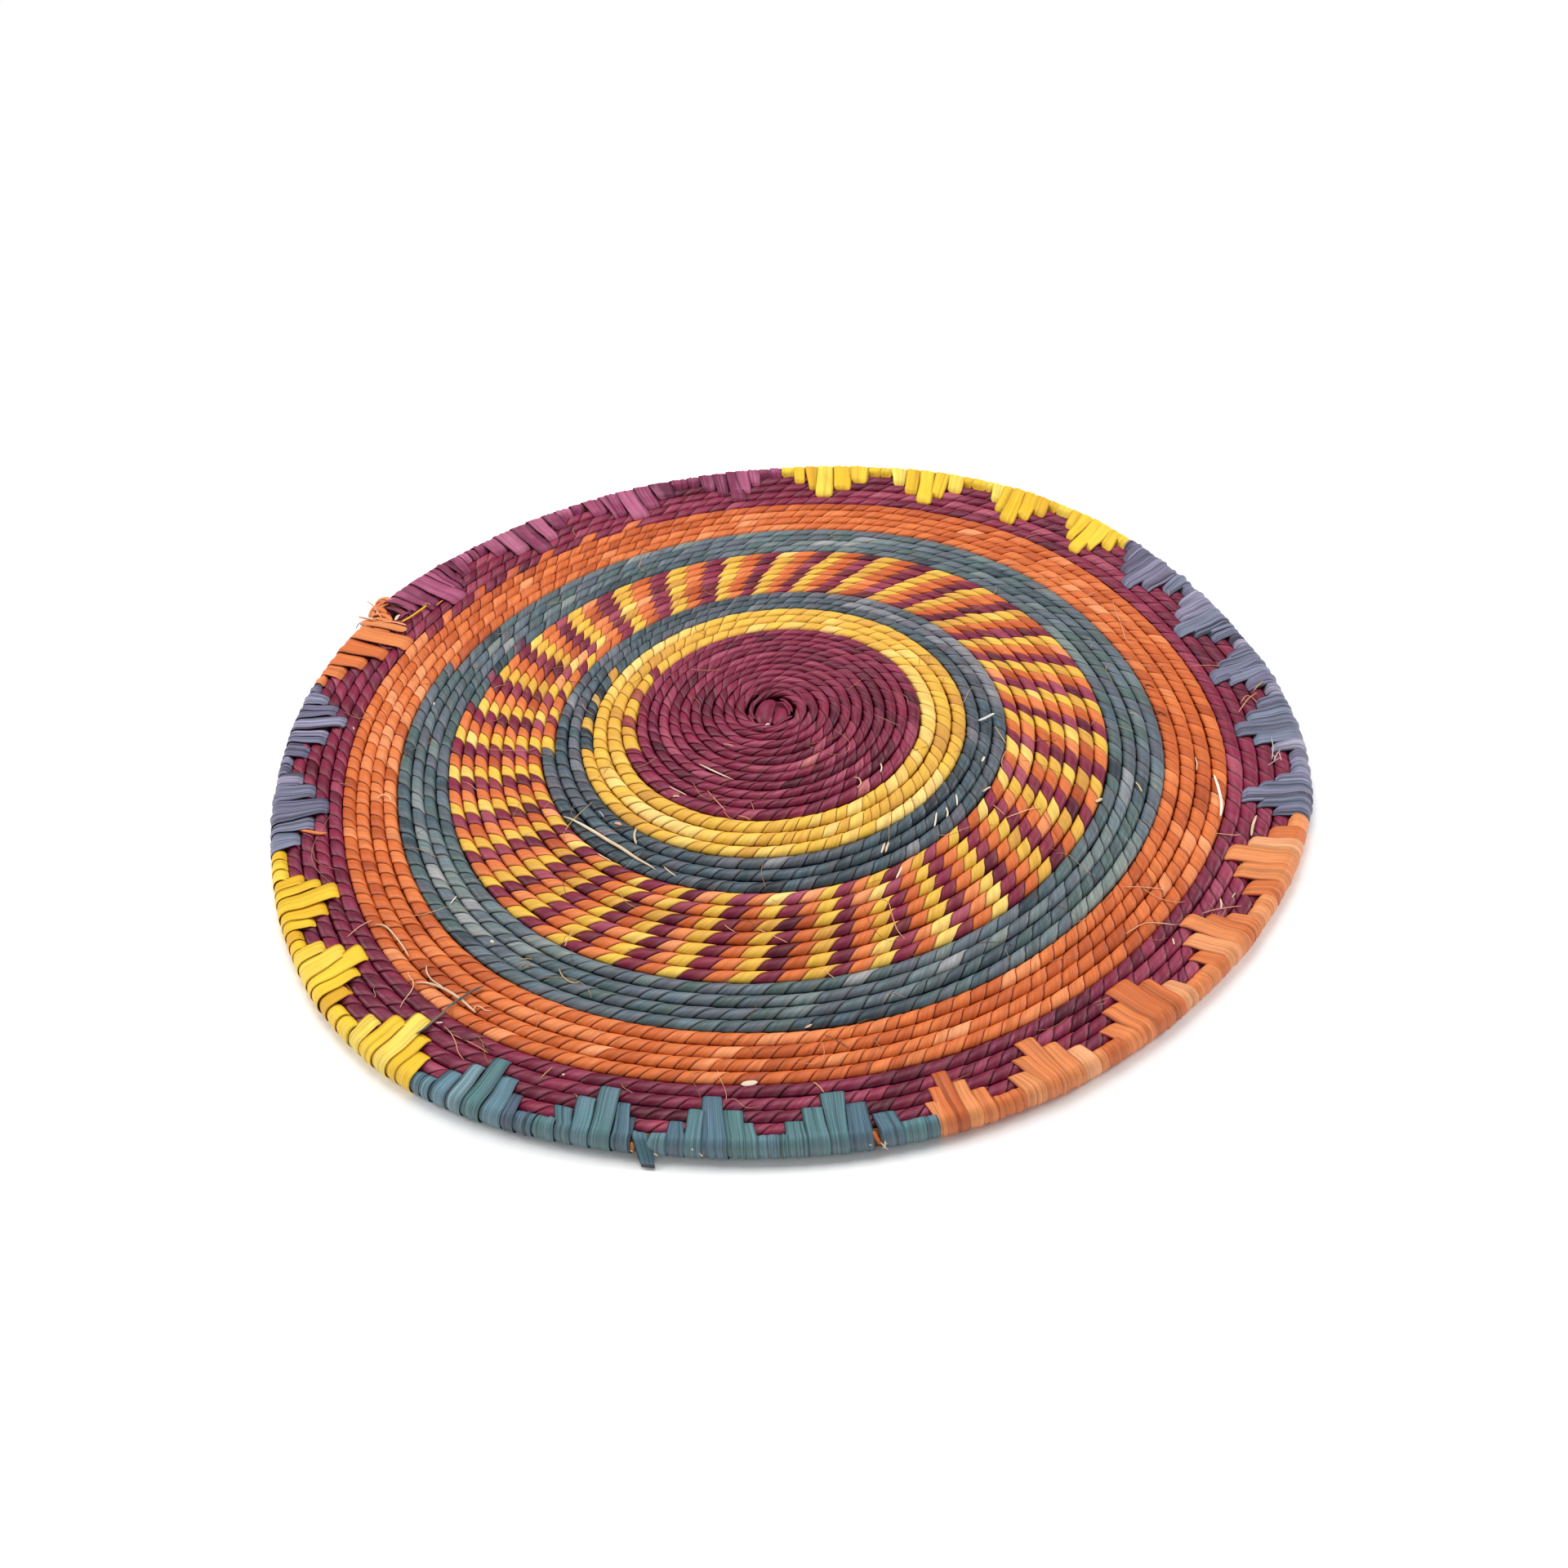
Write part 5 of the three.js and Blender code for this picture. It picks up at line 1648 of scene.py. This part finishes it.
STRAWS = strands(
    (Dye.PALE, 0.5, 1.2, ((688, 1001), (699, 1004), (712, 1011), (726, 1019), (745, 1031), (761, 1040),
     (780, 1053), (795, 1061), (805, 1068)), 0.7, (0.7,), 2),
    (Dye.STRAW, 0.4, 0.4, ((728, 981), (716, 991), (703, 1003), (696, 1011), (690, 1021), (689, 1028))),
    (Dye.PALE, 0.3, 0.8, ((780, 1014), (777, 1021), (777, 1028), (780, 1036)), 0.5, (0.5,)),
    (Dye.PALE, 0.4, 0.5, ((812, 1061), (820, 1068), (829, 1074))),
    (Dye.ASH, 0.5, 0.4, ((733, 993), (737, 997), (740, 1002))),
    (Dye.PALE, 0.2, 0.5, ((731, 1045), (739, 1050), (747, 1054), (749, 1057))),
    (Dye.PEACH, 0.7, 1.3, ((752, 1008), (757, 1009), (762, 1011)), 0.3, (0.3,), 2),
    (Dye.PALE, 0.3, 0.6, ((457, 1135), (461, 1133), (470, 1133), (478, 1140), (487, 1151), (495, 1162),
     (502, 1174)), 0.6, (0.5,)),
    (Dye.PALE, 0.4, 0.9, ((506, 1205), (521, 1204), (534, 1208), (544, 1212), (556, 1219), (567, 1227),
     (577, 1236), (585, 1243)), 0.6, (0.6,), 3),
    (Dye.PALE, 0.3, 0.5, ((523, 1182), (522, 1192), (529, 1202), (539, 1208), (545, 1212)), 0.6, (0.7,)),
    (Dye.PEACH, 0.8, 0.4, ((500, 1189), (500, 1197), (508, 1204), (505, 1215), (498, 1223), (492, 1231),
     (490, 1238)), 0.6, (0.8,)),
    (Dye.GREY, 0.8, 1.0, ((596, 1209), (581, 1215), (565, 1225), (551, 1234), (541, 1245), (530, 1254),
     (522, 1263), (508, 1271)), 0.5, (1.2, 1.0, 1.6), 6),
    (Dye.PEACH, 0.9, 0.4, ((580, 1240), (582, 1232), (589, 1234), (596, 1240), (604, 1238)), 0.6,
     (0.5,)),
    (Dye.PEACH, 0.5, 0.3, ((542, 1256), (551, 1263), (558, 1276), (561, 1290), (570, 1300))),
    (Dye.PEACH, 0.7, 0.4, ((424, 1150), (437, 1138), (447, 1132), (458, 1127)), 0.6, (0.5,)),
    (Dye.PEACH, 0.3, 0.4, ((551, 1264), (569, 1272), (585, 1280), (600, 1290)), 0.6, (-0.5,)),
    (Dye.PALE, 1.0, 0.5, ((534, 1254), (543, 1253)), 0.6, (0.5,)),
    (Dye.PALE, 0.8, 0.5, ((560, 1098), (551, 1109)), 0.6, (0.6,)),
    (Dye.STRAW, 0.6, 0.3, ((549, 1110), (534, 1116), (515, 1121), (495, 1123))),
    (Dye.PALE, 0.6, 0.6, ((854, 935), (868, 942), (885, 950), (900, 956)), 0.6, (0.3,), 2),
    (Dye.PEACH, 0.6, 0.35, ((865, 967), (872, 975), (881, 985), (890, 995))),
    (Dye.PEACH, 0.5, 0.35, ((903, 999), (913, 1001), (920, 1005))),
    (Dye.PALE, 0.3, 0.45, ((818, 963), (831, 969), (842, 975))),
    (Dye.PEACH, 0.8, 0.9, ((823, 976), (828, 975), (833, 976)), 0.4, (0.2,), 3),
    (Dye.PEACH, 0.8, 0.45, ((1044, 953), (1052, 953), (1055, 960), (1049, 967)), 0.6, (0.4,)),
    (Dye.PALE, 0.7, 0.5, ((1078, 934), (1080, 940), (1078, 947))),
    (Dye.PALE, 0.5, 0.7, ((1079, 1046), (1081, 1039), (1084, 1032)), 0.4),
    (Dye.PALE, 0.4, 0.7, ((1084, 1045), (1086, 1038), (1089, 1031)), 0.4),
    (Dye.PALE, 0.8, 0.6, ((1144, 1014), (1146, 1004), (1147, 994)), 0.4),
    (Dye.PALE, 0.8, 0.6, ((1170, 972), (1172, 979), (1172, 988)), 0.4),
    (Dye.PALE, 0.7, 0.6, ((1158, 988), (1161, 996), (1159, 1002)), 0.4),
    (Dye.PALE, 0.8, 0.6, ((1097, 1077), (1101, 1069), (1105, 1061)), 0.4),
    (Dye.PALE, 0.1, 0.4, ((1083, 1191), (1100, 1182), (1118, 1172)), 0.6, (-0.3,)),
    (Dye.PEACH, 0.5, 0.3, ((1072, 1099), (1088, 1103), (1093, 1124), (1099, 1141), (1111, 1153))),
    (Dye.PEACH, 0.6, 0.3, ((883, 1129), (892, 1137), (902, 1143))),
    (Dye.PEACH, 0.7, 0.35, ((925, 1137), (944, 1145), (967, 1156))),
    (Dye.PEACH, 0.6, 0.3, ((1003, 1183), (1012, 1191), (1024, 1200))),
    (Dye.ASH, 1.0, 1.0, ((1197, 886), (1206, 883), (1212, 880), (1219, 877)), 0.6, (1.2, 1.6), 8),
    (Dye.PALE, 0.7, 0.8, ((1202, 934), (1206, 927)), 0.5, (0.4,), 6),
    (Dye.PALE, 0.5, 0.7, ((1203, 971), (1208, 967), (1214, 964)), 0.5, (0.4,)),
    (Dye.PEACH, 0.8, 0.4, ((1230, 1003), (1245, 998), (1260, 992), (1280, 989)), 0.6, (0.5,)),
    (Dye.PEACH, 0.6, 0.35, ((1215, 986), (1223, 992), (1231, 1000)), 0.6, (0.5,)),
    (Dye.PEACH, 0.5, 0.3, ((1233, 918), (1228, 927), (1226, 936), (1229, 943)), 0.6, (0.3,)),
    (Dye.STRAW, 0.7, 0.3, ((1217, 888), (1224, 899), (1233, 913)), 0.6, (0.3,)),
    (Dye.BROWN, 0.8, 0.25, ((1250, 911), (1260, 908), (1282, 907), (1300, 907)), 0.6, (0.3,)),
    (Dye.PALE, 1.0, 1.1, ((1486, 949), (1491, 963), (1495, 979), (1496, 990), (1494, 1003)), 0.4, (0.7,),
     6),
    (Dye.PALE, 0.3, 1.0, ((1539, 998), (1534, 1011), (1532, 1026)), 0.4, (0.4,), 3),
    (Dye.PEACH, 0.7, 0.35, ((1487, 1021), (1502, 1023), (1518, 1024), (1521, 1022)), 0.6, (0.4,)),
    (Dye.PEACH, 0.8, 0.3, ((1372, 1087), (1398, 1087), (1418, 1089), (1434, 1092)), 0.6, (0.4,)),
    (Dye.PEACH, 0.6, 0.3, ((1397, 1087), (1418, 1101), (1441, 1107), (1454, 1104)), 0.6, (0.4,)),
    (Dye.PEACH, 0.8, 0.35, ((1376, 1146), (1389, 1138), (1400, 1131), (1418, 1131), (1441, 1134)), 0.6,
     (0.4,)),
    (Dye.STRAW, 0.9, 0.7, ((1494, 1100), (1496, 1108), (1495, 1115)), 0.5, (0.3,)),
    (Dye.PEACH, 0.7, 0.35, ((1469, 1122), (1487, 1116), (1510, 1113), (1523, 1111)), 0.6, (1.0,)),
    (Dye.PALE, 0.6, 0.6, ((1436, 1149), (1438, 1158)), 0.5, (0.3,)),
    (Dye.PALE, 0.4, 0.4, ((1513, 1094), (1508, 1101)), 0.5, (0.5,)),
    (Dye.STRAW, 0.4, 0.5, ((1533, 851), (1543, 840), (1562, 833)), 0.6, (1.3, 1.8)),
    (Dye.PEACH, 0.4, 0.4, ((1515, 876), (1528, 858), (1541, 850)), 0.6, (0.8, 1.4)),
    (Dye.PEACH, 0.2, 0.4, ((1518, 864), (1526, 853), (1533, 856), (1540, 864)), 0.6, (1.0,)),
    (Dye.PEACH, 0.4, 0.3, ((1454, 816), (1472, 815), (1500, 816))),
    (Dye.PEACH, 0.6, 0.35, ((1362, 736), (1367, 753), (1373, 766), (1378, 784), (1389, 793)), 0.6,
     (0.4,)),
    (Dye.PEACH, 0.6, 0.3, ((1326, 733), (1335, 728), (1345, 725))),
    (Dye.PALE, 0.3, 1.2, ((1341, 983), (1345, 981), (1350, 978)), 0.3, (0.3,), 3),
    (Dye.STRAW, 0.7, 0.7, ((1390, 957), (1395, 963), (1399, 971)), 0.4),
    (Dye.STRAW, 0.5, 0.5, ((1383, 873), (1388, 874), (1394, 877)), 0.4),
    (Dye.BROWN, 0.1, 0.6, ((1400, 839), (1407, 839), (1414, 843)), 0.4),
    (Dye.BROWN, 0.1, 0.6, ((1413, 871), (1421, 872), (1429, 877)), 0.4),
    (Dye.PALE, 0.5, 0.4, ((1463, 927), (1466, 936), (1465, 945)), 0.6, (0.4,)),
    (Dye.PALE, 0.7, 2.1, ((906, 1328), (917, 1327), (929, 1325)), 0.2, (0.1,), 2),
    (Dye.PEACH, 0.4, 0.45, ((995, 1325), (1003, 1331), (1010, 1340)), 0.6, (0.5,)),
    (Dye.STRAW, 0.3, 0.45, ((661, 1323), (669, 1314), (678, 1307)), 0.6, (0.4,)),
    (Dye.PALE, 0.5, 0.8, ((688, 1317), (692, 1316)), 0.4, (0.3,), 3),
    (Dye.PALE, 0.2, 0.8, ((985, 1259), (990, 1257), (995, 1254)), 0.4, (0.1,), 2),
    (Dye.BROWN, 0.6, 0.35, ((1006, 1266), (1024, 1274), (1042, 1286)), 0.6, (0.4,)),
    (Dye.BROWN, 0.8, 0.35, ((1070, 1269), (1072, 1277), (1080, 1285)), 0.6, (0.4,)),
    (Dye.RIM_ORANGE, 0.4, 1.5, ((366, 1018), (380, 1020), (394, 1023), (403, 1021)), 0.4, (0.7,), 3),
    (Dye.PALE, 0.4, 0.45, ((462, 980), (464, 975), (471, 973), (478, 977), (479, 982)), 0.6, (0.3,)),
    (Dye.PALE, 0.9, 0.5, ((427, 886), (430, 893)), 0.5, (0.1,)),
    (Dye.PALE, 0.8, 0.5, ((431, 888), (434, 894)), 0.5, (0.1,)),
    (Dye.PALE, 1.0, 0.6, ((395, 959), (396, 964)), 0.5, (0.1,)),
    (Dye.PALE, 0.3, 1.0, ((531, 860), (533, 866)), 0.4, (0.1,), 3),
    (Dye.PALE, 0.6, 1.0, ((600, 1152), (605, 1155)), 0.4, (0.2,), 3),
    (Dye.STRAW, 0.3, 0.4, ((634, 1178), (645, 1174), (654, 1176)), 0.6, (0.3,)),
    (Dye.STRAW, 0.2, 0.5, ((636, 1185), (645, 1181), (653, 1184)), 0.6, (0.3,)),
    (Dye.STRAW, 0.6, 0.4, ((684, 1185), (688, 1196), (697, 1203), (706, 1206), (711, 1201)), 0.6,
     (0.4,)),
    (Dye.STRAW, 0.8, 0.3, ((702, 1140), (695, 1152), (691, 1161)), 0.6, (0.4,)),
    (Dye.BROWN, 0.0, 0.7, ((567, 1267), (585, 1274), (606, 1288)), 0.4, (0.0,)),
)


@dataclass
class LooseWork:
    """Lays loose strands over the rows, and scatters fine hairs between them.

    Attributes:
        course: the coil's way.
        view: the camera, for places read off the photograph.
        sides: sides of a strand's section.
        step: length between a strand's stations.
        bend: over what length a strand's way is smoothed.
        lean: how far the upward direction is tipped outwards, so that a strand on the flank lies flat.
        hairs: how many fine hairs there are.
        hair_width: width of a hair.
        hair_reach: how far out hairs lie.
        seed: for the hairs.
    """

    course: Course
    view: Viewpoint
    sides: int = 10
    step: float = 0.7
    bend: float = 3.0
    lean: float = 0.3
    hairs: int = 210
    hair_width: float = 0.16
    hair_reach: float = 178.0
    seed: int = 31

    def strand(self, strand: Strand) -> Shell:
        """A strand on its way over the plate."""
        corners = self.view.sights(self.course, strand.way)
        steps = np.linspace(0, 1, len(corners))
        corners[:, 2] += np.interp(steps, np.linspace(0, 1, len(strand.lift)), strand.lift)
        number = 7.0 * (strand.way[0][0] % 8) + strand.tone
        leaf = strand.dye.leaf(strand.tone, number)
        return self.laid(corners, strand.width, strand.depth, strand.bluntness, leaf, self.sides)

    def laid(self, corners: np.ndarray, width: float, depth: float, bluntness: float,
             colour: np.ndarray, sides: int) -> Shell:
        """A closed length with an oval section.

        A point at s along, from -1 to 1, and section angle a lies at the way's place plus
        girth * (half width * cos a sideways + half width * depth * sin a upwards), where
        girth = sqrt(1 - |s| ** bluntness).

        Args:
            corners: the way's corners.
            width: at its widest.
            depth: the thickness, as a share of the width.
            bluntness: how full the ends are.
            colour: the linear colour and number.
            sides: sides of the section.

        Returns:
            The length's shell.
        """
        length = float(np.linalg.norm(np.diff(corners, axis=0), axis=1).sum())
        count = max(int(length / self.step), 8)
        way = smooth_way(corners, min(self.bend, length / 5), count)
        along = np.gradient(way, axis=0)
        along /= np.linalg.norm(along, axis=1)[:, None]
        outwards = way - self.course.centre
        upwards = self.lean * outwards / np.linalg.norm(outwards, axis=1)[:, None] + np.array([0, 0, 1])
        side = np.cross(upwards, along)
        side /= np.linalg.norm(side, axis=1)[:, None]
        rise = np.cross(along, side)
        share = np.linspace(-1, 1, count)
        girth = np.maximum(1 - np.abs(share) ** bluntness, 0.01) ** 0.5 * width / 2
        section = np.linspace(0, TAU, sides, endpoint=False)
        cos, sin = np.cos(section)[None, :, None], depth * np.sin(section)[None, :, None]
        grid = way[:, None] + girth[:, None, None] * (cos * side[:, None] + sin * rise[:, None])
        grid[..., 2] = np.maximum(grid[..., 2], 0.05)
        far = (share + 1) * length / 2
        # Painted shade along the sides of strands wider than 1.2 mm
        edge = 0.7 * np.abs(np.cos(section)) ** 8 * (width > 1.2)
        lie = (girth[:, None] * np.cos(section), far[:, None], edge)
        return Shell.of_one_leaf(grid, lie, colour)

    def hair(self, rng: np.random.Generator) -> Shell:
        """A fine hair: it starts anywhere on the plate, leans to the coil's way, and curls a little."""
        course = self.course
        angle = rng.uniform(0, TAU)
        radius = self.hair_reach * math.sqrt(rng.uniform(0.01, 1))
        length = float(np.clip(rng.lognormal(2.4, 0.5), 4, 45))
        heading = angle + math.pi / 2 + math.radians(50) * rng.normal()
        steps = np.linspace(0, 1, 9)
        curl = rng.normal() * steps * length / 22
        curl = curl + 0.5 * rng.normal() * np.sin(TAU * steps + rng.uniform(0, TAU))
        spot = course.centre[:2] + radius * np.array([math.cos(angle), math.sin(angle)])
        moves = length / 8 * np.stack([np.cos(heading + curl), np.sin(heading + curl)], -1)
        flat = spot + np.cumsum(moves, axis=0)
        off = flat - course.centre[:2]
        far = np.linalg.norm(off, axis=1)[:, None]
        flat = course.centre[:2] + off * np.minimum(1, self.hair_reach / far)
        rising = 0.15 + np.abs(rng.normal()) * 0.8 * steps ** 3
        corners = np.column_stack([flat, course.cover(flat[:, 0], flat[:, 1]) + rising])
        dye = (Dye.PEACH, Dye.STRAW, Dye.BROWN)[int(rng.integers(0, 3))]
        return self.laid(corners, self.hair_width, 1.0, 3.0, dye.leaf(rng.uniform(0.1, 0.9), 1.0), 4)

    def build(self, shop: Workshop) -> None:
        """Makes the coil's end, the tufts of core in the rim's gaps, the straws and the hairs."""
        rng = np.random.default_rng(self.seed)
        end = Shell.joined([self.strand(strand) for strand in COIL_END])
        shop.add("coil_end_leaf", end, RIM_ORANGE_LEAF, ["coil_end_binding"])
        for name, strands in (("core_tufts", TUFTS), ("loose_straws", STRAWS)):
            shop.add(name, Shell.joined([self.strand(strand) for strand in strands]), DRY_FIBRE)
        shop.add("fine_hairs", Shell.joined([self.hair(rng) for _ in range(self.hairs)]), DRY_FIBRE)


@dataclass
class LooseEnd:
    """The teal strip's loose end at the front: it comes up out of its groove and hangs over the rim.

    Attributes:
        work: how strips are laid.
        start: the angles of its edges at the groove.
        tip: the angles of its edges at its tip.
        reach: how far the tip lies out beyond the rim.
        tip_height: the tip's height above the floor.
        torn: the share of its length that is torn and dark.
    """

    work: StripWork
    start: tuple[float, float] = (251.5, 253.6)
    tip: tuple[float, float] = (253.6, 254.9)
    reach: float = 5.2
    tip_height: float = 0.9
    torn: float = 0.07

    def build(self, shop: Workshop) -> None:
        """Makes the loose strip.

        Its way rises out of the groove, goes over the rim's top, and falls to the tip in a bow.
        """
        work, course = self.work, self.work.course
        radius = course.rim_radius
        start = tuple(course.seen_angle(angle, radius) for angle in self.start)
        tip = tuple(course.seen_angle(angle, radius) for angle in self.tip)
        turn = course.turn_near(sum(start) / 2, course.rim_start)
        middle, half, rise = (float(value[0]) for value in course.rim_row(np.array([turn])))
        groove = float(course.inner_edge(np.array([turn]))[0])
        crown = course.rim_middle + rise
        out = middle + half
        corners = np.array([
            (groove, course.rim_middle + 0.9), (groove + 0.5, crown - 0.3), (groove + 1.6, crown + 0.5),
            (middle, crown + 0.7), (middle + 0.7 * half, crown + 0.2), (out + 0.9, crown - 1.9),
            (out + 2.4, crown - 3.9), (out + self.reach, self.tip_height)])
        way = smooth_way(corners, work.rounding, work.along)
        share = np.linspace(0, 1, work.along)[:, None]
        edges = np.array([start]) * (1 - share) + np.array([tip]) * share
        x = np.linspace(-1, 1, work.across)
        relief = 0.12 * np.cos(2.2 * math.pi * x) + 0.1 * x
        colour = Dye.RIM_TEAL.leaf(0.3, 17.0)
        shell = work.sheet(way, edges, colour, relief, work.lift)
        faces = np.arange(len(shell.quads)) // (2 * work.across)
        dark = (faces >= (1 - self.torn) * (work.along - 1)) & (faces < work.along - 1)
        shell.dye[dark, :3] = Dye.GREY.shades(np.array([0.4]))[0]
        shop.add("loose_strip_leaf", shell, RIM_TEAL_LEAF, ["loose_strip_end"])


@dataclass(frozen=True)
class Softbox:
    """A square studio light that faces the plate's middle."""

    name: str
    place: tuple[float, float, float]
    size: float
    power: float

    def build(self) -> None:
        """Makes the light."""
        data = bpy.data.lights.new(self.name, "AREA")
        data.shape = "SQUARE"
        data.size = self.size
        data.energy = self.power
        light = placed(self.name, data)
        away = np.array(self.place) / np.linalg.norm(self.place)
        side = np.cross([0, 1, 0.1], away)
        side /= np.linalg.norm(side)
        axes = np.array([side, np.cross(away, side), away]).T
        light.matrix_world = Matrix.Translation(self.place) @ Matrix(axes.tolist()).to_4x4()


@dataclass
class Studio:
    """White paper under and round the plate, and soft light from above."""

    floor_radius: float = 0.72
    floor_corners: int = 96
    floor_colour: str = "#fafafa"
    ambient: float = 0.3
    lights: tuple[Softbox, ...] = (
        Softbox("softbox_over", (-0.1, 0.65, 1.5), 1.0, 17.5),
        Softbox("softbox_left", (-1.5, 0.45, 0.9), 0.6, 15.0),
        Softbox("softbox_right", (1.5, 0.35, 0.9), 0.6, 16.0),
        Softbox("softbox_front", (0.0, -1.7, 0.8), 0.9, 4.5),
    )

    def build(self) -> None:
        """Makes the round floor, the white world with its dimmer light, and the lights."""
        turn = np.linspace(0, TAU, self.floor_corners, endpoint=False)
        edge = self.floor_radius * np.column_stack([np.cos(turn), np.sin(turn), 0 * turn])
        mesh = bpy.data.meshes.new("paper_floor")
        mesh.from_pydata(edge.tolist(), [], [tuple(range(self.floor_corners))])
        material = bpy.data.materials.new("white_paper")
        material.use_nodes = True
        shader = material.node_tree.nodes["Principled BSDF"]
        shader.inputs["Base Color"].default_value = (*linear(self.floor_colour), 1)
        shader.inputs["Roughness"].default_value = 0.9
        mesh.materials.append(material)
        placed("paper_floor", mesh)
        world = bpy.data.worlds.new("white_studio")
        world.use_nodes = True
        background = world.node_tree.nodes["Background"]
        background.inputs["Color"].default_value = (1, 1, 1, 1)
        path = add_node(world.node_tree, "ShaderNodeLightPath")
        strength = add_node(world.node_tree, "ShaderNodeMapRange", {
            "Value": path.outputs["Is Camera Ray"], "To Min": self.ambient, "To Max": 1.0})
        world.node_tree.links.new(strength.outputs[0], background.inputs["Strength"])
        bpy.context.scene.world = world
        for light in self.lights:
            light.build()
        bpy.context.scene.view_settings.view_transform = "Standard"


def main() -> None:
    """Builds the plate, piece by piece, and the studio round it."""
    logging.basicConfig(level=logging.INFO, format="%(name)s %(message)s")
    course = Course()
    shop = Workshop()
    view = Viewpoint()
    view.build(course)
    Studio().build()
    WrappedCoil(course, Wrapping(course, view)).build(shop)
    loose = LooseWork(course, view)
    Knot(course, loose).build(shop)
    RimBundle(course).build(shop)
    work = StripWork(course)
    RimStrips(work).build(shop)
    LooseEnd(work).build(shop)
    loose.build(shop)


if __name__ == "__main__":
    main()
